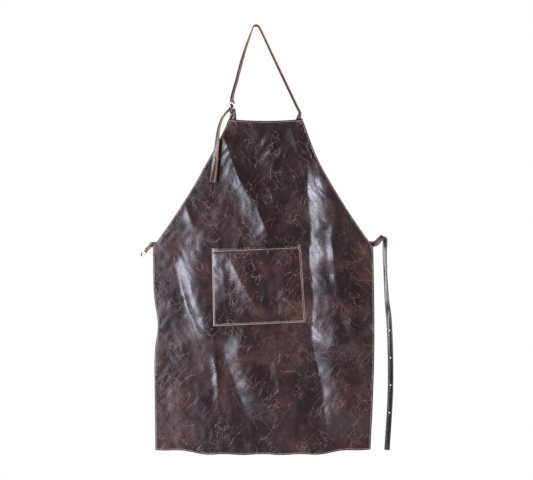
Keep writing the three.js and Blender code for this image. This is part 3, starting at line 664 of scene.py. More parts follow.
# %% The panel's mesh
gx, gz, edge_distance = sheet_grid(128, 190)
surface = front_y(gx, gz)
front = np.stack([gx, surface + edge_round(edge_distance), worked_z(gx, gz)], axis=-1)
thick = np.where(edge_distance < HEM_TURN + 1e-4, 2 * LEATHER, LEATHER)
back = front.copy()
back[..., 1] = surface + thick - np.where(edge_distance < LEATHER, edge_round(edge_distance), 0)
panel_rows, panel_columns = gx.shape
points = np.concatenate([front.reshape(-1, 3), back.reshape(-1, 3)])
faces = grid_faces(panel_rows, panel_columns, 0) + grid_faces(
    panel_rows, panel_columns, panel_rows * panel_columns, True
)
panel = object_from("leather_panel", points, faces, [panel_leather, flesh_side, raw_edge])
count = (panel_rows - 1) * (panel_columns - 1)
middle = (edge_distance[:-1, :-1] + edge_distance[1:, 1:]) / 2
looks = np.where(middle > HEM_TURN + 0.0004, 1, np.where(middle > HEM_TURN, 2, 0)).ravel()
panel.data.polygons.foreach_set(
    "material_index", np.concatenate([np.zeros(count, int), looks]).astype(np.int32)
)
weld(panel)
shade(panel)
print("panel", len(panel.data.vertices), "points", [round(v, 3) for v in panel.dimensions])

# %% [markdown]
# The pocket is one patch of the same hide, sewn on at its sides and base and left slack at the
# mouth, so its front stands away from the panel in the middle of the mouth and lies flat at its
# seams. Its mouth is turned in and is two layers thick. The cut edges are bevelled and show the tan
# inside of the hide as a thin pale outline.

# %% The pocket
POCKET_BULGE = 7 * MM
MOUTH_TURN = 12 * MM
BEVEL = 1.3 * MM
POCKET_FOLDS = [
    ("crest", (-66, -636), (2, -776), 5, 34, 20),
    ("valley", (40, -640), (62, -780), 1.5, 26, 30),
    ("crest", (-96, -640), (-84, -720), 1.2, 20, 16),
    ("crest", (82, -690), (96, -800), 1.6, 20, 16),
]


def pocket_place(across, down):
    """x and z of a place on the pocket, across and down from 0 to 1."""
    width = lerp(POCKET_MOUTH, POCKET_BASE, down)
    lx, lz = (across - 0.5) * width, (0.5 - down) * POCKET_DEPTH
    c, s = math.cos(POCKET_TILT), math.sin(POCKET_TILT)
    return POCKET_X + lx * c - lz * s, POCKET_Z + lx * s + lz * c


def pocket_inner_y(across, down):
    x, z = pocket_place(across, down)
    open_share = (1 - (2 * across - 1) ** 4) * (1 - down**4)
    inside = np.clip(open_share * 3, 0, 1)
    own = sum(fold_height(x, z, *fold) for fold in POCKET_FOLDS)
    return front_y(x, z) - 0.0003 - POCKET_BULGE * open_share - (
        own + 0.4 * np.abs(wrinkles(z, x))
    ) * inside


def pocket_lines(length, low, high, count):
    ends = [0.0, 0.0004, BEVEL, 0.003, 0.0045, 0.006]
    first = ends + ([0.009, MOUTH_TURN, MOUTH_TURN + 0.0004] if low else [])
    inner = np.linspace(first[-1], length - 0.006, count + 1)[1:-1]
    return np.array([*first, *inner, *[length - e for e in reversed(ends)]]) / length

print("pocket folds", len(POCKET_FOLDS))

# %% The pocket's mesh
across = pocket_lines(POCKET_BASE, False, False, 56)
downwards = pocket_lines(POCKET_DEPTH, True, False, 46)
pa, pd = np.meshgrid(across, downwards)
px, pz = pocket_place(pa, pd)
inner = pocket_inner_y(pa, pd)
cut = np.minimum(np.minimum(pa, 1 - pa) * POCKET_BASE, (1 - pd) * POCKET_DEPTH)
mouth = pd * POCKET_DEPTH
turned = mouth < MOUTH_TURN + 1e-5
depth = np.where(turned, 2, 1) * LEATHER * np.clip(cut / BEVEL, 0.12, 1)
lip = np.where(
    mouth < BEVEL, LEATHER * (1 - np.sqrt(np.maximum(1 - (1 - mouth / BEVEL) ** 2, 0))), 0
)
front = np.stack([px, inner - depth + lip, pz], axis=-1)
back = np.stack([px, inner - np.where(mouth < BEVEL, lip * 0.5, 0), pz], axis=-1)
rows, columns = px.shape
points = np.concatenate([front.reshape(-1, 3), back.reshape(-1, 3)])
total = rows * columns
faces = grid_faces(rows, columns, 0) + grid_faces(rows, columns, total, True)
rim = [r * columns for r in range(rows)] + [(rows - 1) * columns + c for c in range(1, columns)]
rim += [
    r * columns + columns - 1 for r in range(rows - 2, -1, -1)
] + list(range(columns - 2, 0, -1))
for a, b in zip(rim, rim[1:] + rim[:1]):
    faces.append((a, total + a, total + b, b))
pocket = object_from("pocket_patch", points, faces, [panel_leather, flesh_side, pocket_edge])
count = (rows - 1) * (columns - 1)
middle = (cut[:-1, :-1] + cut[1:, 1:]) / 2
looks = np.where(middle < BEVEL, 2, 0).ravel()
behind = np.where(((mouth[:-1, :-1] + mouth[1:, 1:]) / 2) > MOUTH_TURN, 1, 0).ravel()
pocket.data.polygons.foreach_set(
    "material_index", np.concatenate([looks, behind, np.full(len(rim), 2)]).astype(np.int32)
)
weld(pocket)
shade(pocket)
print("pocket", [round(v, 3) for v in pocket.dimensions])

# %% [markdown]
# Both straps are two layers of leather glued and sewn together near their edges. One section is
# carried along a route: nearly flat faces with a shallow groove under each stitch row, rounded
# corners, and the joint between the layers in the middle of each edge. The outer layer's cut edge is
# tan and the lining's is dark. The route is a smooth curve through a few stops, each with the
# direction of the strap's edge there.

# %% Routes
NECK_STRAP, WAIST_STRAP = 19 * MM, 15 * MM
STRAP_THICK, STITCH_INSET = 3.7 * MM, 3 * MM


def turned_edge(degrees):
    angle = math.radians(degrees)
    return Vector((math.cos(angle), -math.sin(angle), 0))


def smooth_curve(points, per_span=24):
    """Centripetal Catmull-Rom through the points, with the share of the way along each stop."""
    p = [Vector(q) for q in points]
    p = [2 * p[0] - p[1], *p, 2 * p[-1] - p[-2]]
    made, shares = [], []
    for i in range(1, len(p) - 2):
        knots = [0.0]
        for a, b in zip(p[i - 1:i + 2], p[i:i + 3]):
            knots.append(knots[-1] + max((b - a).length, 1e-6) ** 0.5)
        for k in range(per_span):
            t = lerp(knots[1], knots[2], k / per_span)
            made.append(catmull_point(p[i - 1:i + 3], knots, t))
            shares.append(i - 1 + k / per_span)
    made.append(p[-2])
    shares.append(len(p) - 3.0)
    return made, shares


def catmull_point(p, k, t):
    a = [
        p[j] * ((k[j + 1] - t) / (k[j + 1] - k[j])) + p[j + 1] * ((t - k[j]) / (k[j + 1] - k[j]))
        for j in range(3)
    ]
    b = [
        a[j] * ((k[j + 2] - t) / (k[j + 2] - k[j])) + a[j + 1] * ((t - k[j]) / (k[j + 2] - k[j]))
        for j in range(2)
    ]
    return b[0] * ((k[2] - t) / (k[2] - k[1])) + b[1] * ((t - k[1]) / (k[2] - k[1]))

# %% Stations along a route
def route(stops, spacing=0.003):
    """Even stations along a route: dicts of centre, along, edge and out."""
    places, shares = smooth_curve([at for at, _ in stops])
    lengths = np.concatenate(
        [[0], np.cumsum([(b - a).length for a, b in zip(places, places[1:])])]
    )
    steps = max(2, round(lengths[-1] / spacing))
    stations = []
    for target in np.linspace(0, lengths[-1], steps + 1):
        i = int(min(np.searchsorted(lengths, target, side="right") - 1, len(places) - 2))
        t = (target - lengths[i]) / max(lengths[i + 1] - lengths[i], 1e-9)
        share = lerp(shares[i], shares[i + 1], t)
        low = int(min(share, len(stops) - 2))
        centre = places[i].lerp(places[i + 1], t)
        along = (places[min(i + 2, len(places) - 1)] - places[max(i - 1, 0)]).normalized()
        edge = Vector(stops[low][1]).lerp(Vector(stops[low + 1][1]), share - low)
        edge = (edge - along * edge.dot(along)).normalized()
        stations.append(
            {
                "centre": centre, "along": along, "edge": edge,
                "out": along.cross(edge).normalized(), "at": target
            }
        )
    return stations


def station_at(stations, distance):
    return min(stations, key=lambda s: abs(s["at"] - distance))


print(
    "curve test",
    [tuple(round(v, 3) for v in q) for q in smooth_curve([(0, 0, 0), (1, 0, 0), (1, 1, 0)], 2)[0]]
)

# %% [markdown]
# A real strap is two layers of leather with a stitch row sunk along each edge. It could be a flat
# ribbon with Solidify, but then the groove of the stitches and the tan cut edge would be missing. So
# one cross-section with both grooves is carried along the stations of a route, and only the side
# where a knife went through shows its raw edge. Holes are cut afterwards with a small tool body.

# %% Strap makers
def strap_section(width, thick, whole_edge=False):
    hw, ht, s = width / 2, thick / 2, width / 2 - STITCH_INSET
    corner, groove, dip = 0.0006, 0.0002, 0.00025
    top = [
        (-hw, ht - corner), (-hw + corner, ht), (-s - 0.0009, ht), (-s, ht - dip),
        (-s + 0.0009, ht), (0, ht + 0.0001)
    ]
    top += [(-a, h) for a, h in reversed(top[:-1])]
    right = [(hw, groove), (hw - 0.0004, 0), (hw, -groove)]
    under = [(a, -h) for a, h in reversed(top)]
    left = [(-hw, -groove), (-hw + 0.0004, 0), (-hw, groove)]
    section = [*top, *right, *under, *left]
    following = section[1:] + section[:1]
    cut_faces = set()
    for i, ((a, h), (next_a, next_h)) in enumerate(zip(section, following)):
        on_edge = abs(a) > hw - 0.0005 and abs(next_a) > hw - 0.0005
        if on_edge and (h + next_h > 0 or (whole_edge and a > 0)):
            cut_faces.add(i)
    return section, cut_faces


def place_on(station, across, height):
    return station["centre"] + station["edge"] * across + station["out"] * height


def strap_piece(name, stations, width, leather=strap_leather, whole_edge=False):
    section, edge_faces = strap_section(width, STRAP_THICK, whole_edge)
    n = len(section)
    points = [place_on(s, a, h) for s in stations for a, h in section]
    faces, looks = [], []
    for r in range(len(stations) - 1):
        for j in range(n):
            k = (j + 1) % n
            faces.append((r * n + j, r * n + k, (r + 1) * n + k, (r + 1) * n + j))
            looks.append(1 if j in edge_faces else 0)
    last = (len(stations) - 1) * n
    faces += [tuple(range(n)), tuple(last + j for j in reversed(range(n)))]
    looks += [1, 1]
    made = object_from(name, points, faces, [leather, raw_edge])
    made.data.polygons.foreach_set("material_index", looks)
    return shade(weld(made))

print("section points", len(strap_section(NECK_STRAP, STRAP_THICK)[0]))

# %% Holes and cuts
def punch(piece, station, width, length=None):
    """Cuts a round or oblong hole through a strap at a station."""
    length = length or width
    tool = bmesh.new()
    sides = 16
    ring = []
    for end in (-1, 1):
        for k in range(sides):
            angle = 2 * math.pi * k / sides
            a = math.cos(angle) * width / 2
            b = math.sin(angle) * width / 2 + math.copysign(
                (length - width) / 2, math.sin(angle) or 1
            )
            spot = station["centre"] + station["edge"] * a + station["along"] * b
            ring.append(tool.verts.new(spot + station["out"] * end * 0.006))
    for k in range(sides):
        m = (k + 1) % sides
        tool.faces.new((ring[k], ring[m], ring[sides + m], ring[sides + k]))
    tool.faces.new(list(reversed(ring[:sides])))
    tool.faces.new(ring[sides:])
    bmesh.ops.recalc_face_normals(tool, faces=tool.faces)
    cut_piece(piece, tool)


def cut_piece(piece, tool):
    mesh = bpy.data.meshes.new("tool")
    tool.to_mesh(mesh)
    tool.free()
    mesh.materials.append(raw_edge)
    cutter = bpy.data.objects.new("tool", mesh)
    bpy.context.collection.objects.link(cutter)
    boolean = piece.modifiers.new("cut", "BOOLEAN")
    boolean.operation, boolean.solver, boolean.object = "DIFFERENCE", "EXACT", cutter
    boolean.material_mode = "TRANSFER"
    finished = bpy.data.meshes.new_from_object(
        piece.evaluated_get(bpy.context.evaluated_depsgraph_get())
    )
    piece.modifiers.remove(boolean)
    piece.data = finished
    bpy.data.objects.remove(cutter)


print("neck strap", NECK_STRAP, "m wide, waist strap", WAIST_STRAP, "m wide")

# %% [markdown]
# The buckles are built flat and then placed: x along the bars, y from the heel bar to the front bar,
# z towards the front of the buckle. The neck buckle stands over the bib's left corner, leaning left
# and turned to the left. The waist buckle hangs out and down from the left waist corner.

# %% Where the buckles are
BAR, ROLLER, RUNNING = 1.6 * MM, 2.9 * MM, 0.4 * MM
NECK_LENGTH, WAIST_LENGTH = 20.3 * MM, 21 * MM
GAP = 0.3 * MM
bib_left, bib_right = float(left_edge(bib_top)), float(right_edge(bib_top))
sewn_front = FRONT + SLACK + 2 * LEATHER + GAP
loop_thick = 2 * LEATHER + GAP
NECK_YAW, NECK_LEAN = 48, math.radians(18)


def frame_matrix(bars, long, heel):
    bars, long = Vector(bars).normalized(), Vector(long).normalized()
    normal = bars.cross(long)
    matrix = Matrix((bars, long, normal)).transposed().to_4x4()
    matrix.translation = heel
    return matrix


neck_heel = Vector((bib_left + 0.55 * NECK_STRAP, sewn_front + loop_thick / 2, bib_top + 23 * MM))
neck_place = Matrix.Translation(neck_heel) @ Matrix.Rotation(-NECK_LEAN, 4, "Y") @ frame_matrix(
    turned_edge(NECK_YAW), (0, 0, 1), (0, 0, 0)
)


def in_neck(x, y, z):
    return neck_place @ Vector((x, y, z))


print("neck buckle heel", [round(v, 4) for v in neck_heel])

# %% [markdown]
# The neck strap comes up from behind the bib's right corner, twists edge-on, goes over the peg, and
# comes down on the left with its outer face to the front. It passes behind the buckle's roller, up
# through the frame, and the prong goes through a punched hole in it.

# %% The neck strap's route
def neck_strap_stops():
    half = STRAP_THICK / 2
    sewn_x = bib_right - 0.6 * NECK_STRAP
    sewn_y = sewn_front + half + 0.0004
    flex_z = bib_top + 2.5 * MM
    start = Vector(
        (bib_right - 0.52 * NECK_STRAP, sewn_front + 7 * MM, flex_z + 0.16 * NECK_STRAP)
    )
    bend = start + Vector((2.7, -2, 11)) * MM
    top = Vector((0, 0, half - 9 * MM))

    def over(degrees):
        angle = math.radians(degrees)
        return top + Vector((math.cos(angle), 0, math.sin(angle))) * 9 * MM

    behind = -(ROLLER + 0.8 * MM + 4.9 * MM)
    entry = in_neck(1 * MM, NECK_LENGTH + 9 * MM, behind - 0.4 * MM)
    stops = [
        (Vector((sewn_x, sewn_y, bib_top - 31.5 * MM)), 0),
        (Vector((sewn_x, sewn_y, bib_top - 16 * MM)), 0),
        (Vector((sewn_x + 0.0004, sewn_y + 0.0012, bib_top - 6 * MM)), 16),
        (start, 62),
        (bend, 77),
        (bend.lerp(over(26), 0.07), 80),
        (bend.lerp(over(26), 0.3), 80),
        (bend.lerp(over(26), 0.65), 83),
        (over(26), 88),
        *[(over(degrees), 90) for degrees in (50, 70, 90, 112, 138)],
        (over(164), 88),
        (over(164).lerp(entry, 0.2) + Vector((-3.2, 0, 0)) * MM, 78),
        (over(164).lerp(entry, 0.45) + Vector((-4, 0, 0)) * MM, 70),
        (over(164).lerp(entry, 0.72) + Vector((-2.4, 0, 0)) * MM, 68),
        (entry, 66),
        (in_neck(0.5 * MM, NECK_LENGTH + 1 * MM, behind), 61),
        (in_neck(0, 0.64 * NECK_LENGTH, -6 * MM), 60),
        (in_neck(0, 0.41 * NECK_LENGTH, 1.8 * MM), 60),
        (in_neck(0, 0.22 * NECK_LENGTH, 9 * MM), 64),
        (tail_bend - tail_heading * 0.0005, 74),
    ]
    return [(at, turned_edge(turn)) for at, turn in stops]


tail_bend = in_neck(0, 0.22 * NECK_LENGTH, 9 * MM) + Vector((-10, -7.5, -10.5)) * MM
tail_heading = Vector((-0.58, -0.33, -0.74)).normalized()
neck_line = route(neck_strap_stops())
neck_strap = strap_piece("neck_strap", neck_line, NECK_STRAP)
crossing = in_neck(0, 0.39 * NECK_LENGTH, 2.6 * MM)
punch(neck_strap, min(neck_line, key=lambda s: (s["centre"] - crossing).length), 3.4 * MM, 6 * MM)
print("neck strap", round(neck_line[-1]["at"], 3), "m long")

# %% [markdown]
# The tail is what is left of the neck strap below the buckle. It starts exactly where the strap's
# last section ends, so the two are joined, and it hangs across the bib's armhole edge with its
# outer face to the front.

# %% The tail
TAIL_HOLES = (68, 143)
TAIL_SHAPE = [
    (0.5, 0.3, 0.6, 74),
    (-10, -4.5, -15, 74),
    (-18.5, -5, -42, 69),
    (-23, -5.6, -79, 58),
    (-26.5, -5.8, -112, 48),
    (-30, -4.8, -146, 37),
    (-34.5, -3.2, -182, 26),
]
tail_size = 196 / math.hypot(34.5, 182) / 1.02
tail_line = route(
    [
        (tail_bend + Vector((x * tail_size, y, z * tail_size)) * MM, turned_edge(turn))
        for x, y, z, turn in TAIL_SHAPE
    ]
)
for key in ("centre", "edge", "out"):
    tail_line[0][key] = neck_line[-1][key].copy()
tail = strap_piece("neck_strap_tail", tail_line, NECK_STRAP, whole_edge=True)
for distance in TAIL_HOLES:
    punch(tail, station_at(tail_line, tail_line[-1]["at"] - distance * MM), 4 * MM)
print("tail", round(tail_line[-1]["at"], 3), "m long")

# %% [markdown]
# The waist strap starts sewn behind the right waist corner, goes up and out to a crest, bends over
# and hangs beside the panel, turned a little more to the front the lower it gets. It has five holes.

# %% The waist strap
def sewn_middle(x, z, thick=STRAP_THICK):
    """y of the middle of something sewn behind the panel's turned edge."""
    around = [
        float(front_y(x + dx, z + dz)) for dx in (-0.004, 0, 0.004) for dz in (-0.006, 0, 0.006)
    ]
    return max(around) + 2 * LEATHER + GAP + thick / 2


def behind_corner(x):
    """The back of the turned hem at a waist corner, with a gap to what is sewn there."""
    past = abs(x - POCKET_X) - POCKET_BASE / 2 - FLAT_MARGIN
    fall = SIDE_FALL * float(smoothstep(past, 0, SIDE_REACH))
    return FRONT + SLACK + fall + 2 * LEATHER + 2 * GAP


def sewn_stop(corner, offset, near, edge, thick=STRAP_THICK):
    """A stop of a route that lies on the panel's back, beside a waist corner."""
    y = sewn_middle(corner.x + near, corner.z, thick)
    return Vector((corner.x + offset, y, corner.z)), edge


right_corner = Vector((float(right_edge(waist)), 0, waist + 8.6 * MM))
corner_back = behind_corner(right_corner.x)
crest = Vector(
    (float(right_edge(waist)) + 29.4 * MM, corner_back + STRAP_THICK - 6 * MM, waist + 28.6 * MM)
)
root_start = Vector((right_corner.x, corner_back + STRAP_THICK / 2, right_corner.z))
root_stops = [
    sewn_stop(right_corner, -0.032, -0.030, Vector((0, 0, -1))),
    sewn_stop(right_corner, -0.016, -0.016, Vector((0, 0, -1))),
    sewn_stop(right_corner, -0.003, -0.004, Vector((0, 0, -1))),
    (root_start + Vector((3, 0.3, 0.3)) * MM, Vector((0, 0, -1))),
    (root_start + Vector((6, -0.2, 1)) * MM, Vector((0.06, -0.04, -1))),
    (root_start + Vector((11, -0.8, 4.2)) * MM, Vector((0.25, -0.16, -0.95))),
    (root_start.lerp(crest, 0.6) + Vector((0.5, 0, 0)) * MM, Vector((0.42, -0.34, -0.82))),
    (crest + Vector((-6, 0, -2.6)) * MM, Vector((0.48, -0.5, -0.7))),
    (crest + Vector((-1.8, 0, -0.1)) * MM, Vector((0.45, -0.65, -0.52))),
]
root_line = route(root_stops, 0.0025)
waist_root = strap_piece("waist_strap_root", root_line, WAIST_STRAP)
WAIST_STRAP_HOLES = (102, 177, 252, 327, 402)
WAIST_SHAPE = [
    (-1.8, 0.0002, None),
    (2.0, 0.0045, 60),
    (3.2, 0.016, 42),
    (2.4, 0.065, 52),
    (4, 0.165, 65),
    (8.5, 0.3, 50),
    (14, 0.39, 14),
    (18, 0.57, 7),
    (17.4, 0.74, 6),
    (8.5, 1, 6),
]
drop_line = route(
    [
        (
            crest + Vector((x, 0, -share * 582)) * MM,
            turned_edge(turn) if turn else root_stops[-1][1]
        )
        for x, share, turn in WAIST_SHAPE
    ]
)
for key in ("centre", "edge", "out"):
    drop_line[0][key] = root_line[-1][key].copy()
# The hanging strap takes the near-black strap leather, which paints in the shade it hangs in, turned
# away from the light.
waist_drop = strap_piece("waist_strap", drop_line, WAIST_STRAP, dark_strap_leather)
for distance in WAIST_STRAP_HOLES:
    punch(waist_drop, station_at(drop_line, drop_line[-1]["at"] - distance * MM), 4 * MM)
print("waist strap", round(drop_line[-1]["at"], 3), "m from its crest")

# %% [markdown]
# Each buckle hangs in a strip of leather that is folded round its heel bar, with a slot in the fold
# for the prong. The strip is made flat, with its fold and its slot, and is then carried along a
# route from the bar to where it is sewn, so that it twists into the plane of the panel.

# %% Folded loops
def folded_loop(name, stops, width, leather=strap_leather):
    line = route(stops, 0.001)
    reach = line[-1]["at"]
    radius = BAR + RUNNING + LEATHER / 2
    close = (LEATHER + GAP) / 2
    legs = np.linspace(reach, 2.2 * radius, 18)
    path = [(s, close) for s in legs]
    path += [
        (-radius * math.cos(a), radius * math.sin(a))
        for a in np.linspace(math.pi * 0.66, -math.pi * 0.66, 19)
    ]
    path += [(s, -close) for s in reversed(legs)]
    hw, ht, corner = width / 2, LEATHER / 2, 0.0004
    section = [
        (-hw, -ht + corner), (-hw + corner, -ht), (0, -ht), (hw - corner, -ht), (hw, -ht + corner)
    ]
    section += [(-a, -b) for a, b in section]
    points = []
    for i, (s, n) in enumerate(path):
        before, after = path[max(i - 1, 0)], path[min(i + 1, len(path) - 1)]
        step = Vector((after[0] - before[0], after[1] - before[1])).normalized()
        points += [Vector((a, s - step.y * b, n + step.x * b)) for a, b in section]
    n = len(section)
    faces, looks = [], []
    for r in range(len(path) - 1):
        for j in range(n):
            k = (j + 1) % n
            faces.append((r * n + j, r * n + k, (r + 1) * n + k, (r + 1) * n + j))
            looks.append(1 if j in (4, 9) else 0)
    last = (len(path) - 1) * n
    faces += [tuple(range(n)), tuple(last + j for j in reversed(range(n)))]
    looks += [1, 1]
    made = object_from(name, points, faces, [leather, raw_edge])
    made.data.polygons.foreach_set("material_index", looks)
    weld(made)
    tool = bmesh.new()
    bmesh.ops.create_cube(tool, size=1.0, matrix=Matrix.Diagonal((4.6 * MM, 18 * MM, 20 * MM, 1)))
    cut_piece(made, tool)
    for vertex in made.data.vertices:
        across, s, height = vertex.co
        station = line[int(min(max(s, 0) / 0.001, len(line) - 1))]
        beyond = min(s, 0) if s < 0 else s - station["at"]
        vertex.co = place_on(station, across, height) + station["along"] * beyond
    return shade(weld(made)), line

# %% The chape
bars = Vector(neck_place.col[0][:3])
long = Vector(neck_place.col[1][:3])
chape_x = bib_left + 0.6 * NECK_STRAP
chape_y = sewn_front + loop_thick / 2 + 0.0004
chape, chape_line = folded_loop(
    "neck_chape",
    [
        (neck_heel, -bars),
        (neck_heel - long * 7 * MM, -bars),
        (Vector((chape_x, chape_y + 0.0012, bib_top + 3 * MM)), -turned_edge(14)),
        (Vector((chape_x, chape_y, bib_top - 8 * MM)), -turned_edge(0)),
        (Vector((chape_x, chape_y, bib_top - 31.5 * MM)), -turned_edge(0)),
    ],
    NECK_STRAP,
    dark_strap_leather,
)

print("chape", [round(v, 3) for v in chape.dimensions])

# %% The waist tab
left_corner = Vector((float(left_edge(waist)), 0, waist + 6.6 * MM))
corner_back = behind_corner(left_corner.x)
tab_heading = Vector((-0.629, 0.458, -0.629)).normalized()
tab_start = Vector((left_corner.x - 4.4 * MM, corner_back + STRAP_THICK / 2, left_corner.z))
waist_heel = tab_start + tab_heading * 24 * MM
waist_place = frame_matrix((0, 0.81, 0.59), tab_heading, waist_heel)
tab_bars = Vector(waist_place.col[0][:3])
upright = Vector((0, 0, 1))
tab, tab_line = folded_loop(
    "waist_tab",
    [
        (waist_heel, -tab_bars),
        (waist_heel - tab_heading * 9 * MM, -tab_bars),
        (waist_heel - tab_heading * 17 * MM, -(tab_bars * 0.8 + upright * 0.2)),
        (tab_start + Vector((-0.5, 0.6, 0)) * MM, -(tab_bars * 0.25 + upright * 0.75)),
        sewn_stop(left_corner, 2 * MM, 0.004, -upright, loop_thick),
        sewn_stop(left_corner, 16 * MM, 0.016, -upright, loop_thick),
        sewn_stop(left_corner, 31 * MM, 0.030, -upright, loop_thick),
    ],
    WAIST_STRAP,
)
print("loops", [round(v, 3) for v in chape.dimensions], [round(v, 3) for v in tab.dimensions])

# %% [markdown]
# A buckle frame is one length of wire bent round four corners. The roller is a tube on the front
# bar, with rounded ends, and the prong is a flattened eye round the heel bar that runs out into a
# rod and rests its tip on the roller.

# %% Buckle parts
def tube(name, centres, radii, closed=False, sides=14, material=nickel):
    points, faces = [], []
    n = len(centres)
    up = Vector((0, 0, 1))
    for i, (c, r) in enumerate(zip(centres, radii)):
        before = centres[i - 1] if closed or i else centres[0]
        after = centres[(i + 1) % n] if closed or i < n - 1 else centres[-1]
        along = (after - before).normalized()
        side = along.cross(up).normalized() if abs(along.dot(up)) < 0.98 else Vector((1, 0, 0))
        other = side.cross(along)
        points += [
            c + (
                side * math.cos(
                    2 * math.pi * k / sides
                ) + other * math.sin(2 * math.pi * k / sides)
            ) * r
            for k in range(sides)
        ]
    for i in range(n if closed else n - 1):
        for k in range(sides):
            m, j = (k + 1) % sides, (i + 1) % n
            faces.append((i * sides + k, i * sides + m, j * sides + m, j * sides + k))
    if not closed:
        faces += [tuple(range(sides)), tuple((n - 1) * sides + k for k in reversed(range(sides)))]
    return shade(weld(object_from(name, points, faces, [material])))


def lathe(name, profile, y, sides=28, material=nickel):
    """Turns a closed outline of (radius, x) round the bar at y."""
    n = len(profile)
    points = [
        Vector(
            (x, y + r * math.cos(2 * math.pi * k / sides), r * math.sin(2 * math.pi * k / sides))
        )
        for k in range(sides) for r, x in profile
    ]
    faces = []
    for k in range(sides):
        for j in range(n):
            i, m = (j + 1) % n, (k + 1) % sides
            faces.append((k * n + j, k * n + i, m * n + i, m * n + j))
    return shade(weld(object_from(name, points, faces, [material])))


def rounded_tube(inner, outer, width, round_off):
    hw = width / 2
    rim = [
        (outer - round_off * (1 - math.sin(a)), hw - round_off * (1 - math.cos(a)))
        for a in np.linspace(0, math.pi / 2, 5)
    ]
    return [(inner, -hw), *[(r, -x) for r, x in rim], *reversed(rim), (inner, hw)]


def join_into(first, *others):
    mesh = bmesh.new()
    for piece in (first, *others):
        mesh.from_mesh(piece.data)
    mesh.to_mesh(first.data)
    mesh.free()
    for piece in others:
        bpy.data.objects.remove(piece)
    return first

# %% A whole buckle
def buckle(prefix, place, strap_width, length):
    half, corner = strap_width / 2 + 1.5 * MM + BAR, 4.5 * MM
    centres = []
    for cx, cy, first in (
        (half - corner, corner, -90), (half - corner, length - corner, 0),
        (-half + corner, length - corner, 90), (-half + corner, corner, 180)
    ):
        centres += [
            Vector(
                (
                    cx + corner * math.cos(math.radians(first + a)),
                    cy + corner * math.sin(math.radians(first + a)), 0
                )
            )
            for a in np.linspace(0, 90, 9)
        ]
    wire = tube(f"{prefix}_buckle_frame_wire", centres, [BAR] * len(centres), closed=True)
    roller_width = 2 * (half - corner) - 1 * MM
    roller = lathe(
        f"{prefix}_buckle_roller_tube",
        rounded_tube(BAR + RUNNING, ROLLER, roller_width, 0.5 * MM), length
    )
    eye = lathe(
        f"{prefix}_eye", rounded_tube(BAR + RUNNING, BAR + RUNNING + 1.1 * MM, 3 * MM, 0.4 * MM), 0
    )
    rest = ROLLER + GAP + 1.1 * MM
    shape = [
        (0, 2.3, 0.6), (0, 0.35 * length / MM, 0.6 * rest / MM),
        (0, 0.75 * length / MM, rest / MM), (0, length / MM + 0.6, rest / MM + 0.05),
        (0, (length + ROLLER) / MM, rest / MM - 0.7)
    ]
    rod_line, _ = smooth_curve([Vector(p) * MM for p in shape], 6)
    radii = [
        1.1 * MM * (
            1 if i < len(rod_line) - 4 else (0.97, 0.88, 0.72, 0.45)[i - len(rod_line) + 4]
        )
        for i in range(len(rod_line))
    ]
    rod = tube(f"{prefix}_rod", rod_line, radii, sides=12)
    prong = join_into(eye, rod)
    prong.name = f"{prefix}_buckle_prong_rod"
    for piece in (wire, roller, prong):
        piece.data.transform(place)
    return wire, roller, prong


neck_wire, neck_roller, neck_prong = buckle("neck", neck_place, NECK_STRAP, NECK_LENGTH)
waist_wire, waist_roller, waist_prong = buckle("waist", waist_place, WAIST_STRAP, WAIST_LENGTH)
print("heels", [round(v, 4) for v in waist_heel], [round(v, 4) for v in root_start])
print(
    "buckles", [round(v, 4) for v in neck_wire.dimensions],
    [round(v, 4) for v in waist_wire.dimensions]
)

# %% [markdown]
# Saddle stitching repeats one short slanted stitch hundreds of times, which is what Geometry Nodes
# are for. The rows are drawn as plain lines; the tree cuts each line to the stitch pitch and sets a
# small rounded stitch at every point, turned along the line.

# %% The stitching tree
stitch_tree = bpy.data.node_groups.new("stitch_rows", "GeometryNodeTree")
face = stitch_tree.interface
face.new_socket("Rows", in_out="INPUT", socket_type="NodeSocketGeometry")
for label, value in (("Pitch", 0.0045), ("Stitch Length", 0.0036), ("Thread", 0.0009)):
    face.new_socket(label, in_out="INPUT", socket_type="NodeSocketFloat").default_value = value
face.new_socket("Material", in_out="INPUT", socket_type="NodeSocketMaterial")
face.new_socket("Stitches", in_out="OUTPUT", socket_type="NodeSocketGeometry")
w = Wiring(stitch_tree)
given, result = w.add("NodeGroupInput"), w.add("NodeGroupOutput")
as_curve = w.add("GeometryNodeMeshToCurve")
w.put(given.outputs["Rows"], as_curve.inputs["Mesh"])
resample = w.add("GeometryNodeResampleCurve", mode="LENGTH")
w.put(as_curve.outputs["Curve"], resample.inputs["Curve"])
w.put(given.outputs["Pitch"], resample.inputs["Length"])
bead = w.add("GeometryNodeMeshUVSphere")
for label, value in (("Segments", 6), ("Rings", 5), ("Radius", 0.5)):
    bead.inputs[label].default_value = value
turn = w.add("FunctionNodeAlignRotationToVector", axis="Z")
w.put(w.add("GeometryNodeInputTangent").outputs[0], turn.inputs["Vector"])
size = w.add("ShaderNodeCombineXYZ")
w.put(given.outputs["Thread"], size.inputs["X"])
w.put(given.outputs["Thread"], size.inputs["Y"])
w.put(given.outputs["Stitch Length"], size.inputs["Z"])
spread = w.add("GeometryNodeInstanceOnPoints")
w.put(resample.outputs["Curve"], spread.inputs["Points"])
w.put(bead.outputs["Mesh"], spread.inputs["Instance"])
w.put(turn.outputs["Rotation"], spread.inputs["Rotation"])
w.put(size.outputs[0], spread.inputs["Scale"])
real = w.add("GeometryNodeRealizeInstances")
w.put(spread.outputs["Instances"], real.inputs["Geometry"])
smooth = w.add("GeometryNodeSetShadeSmooth")
w.put(real.outputs[0], smooth.inputs["Geometry"])
dress = w.add("GeometryNodeSetMaterial")
w.put(smooth.outputs[0], dress.inputs["Geometry"])
w.put(given.outputs["Material"], dress.inputs["Material"])
w.put(dress.outputs[0], result.inputs["Stitches"])
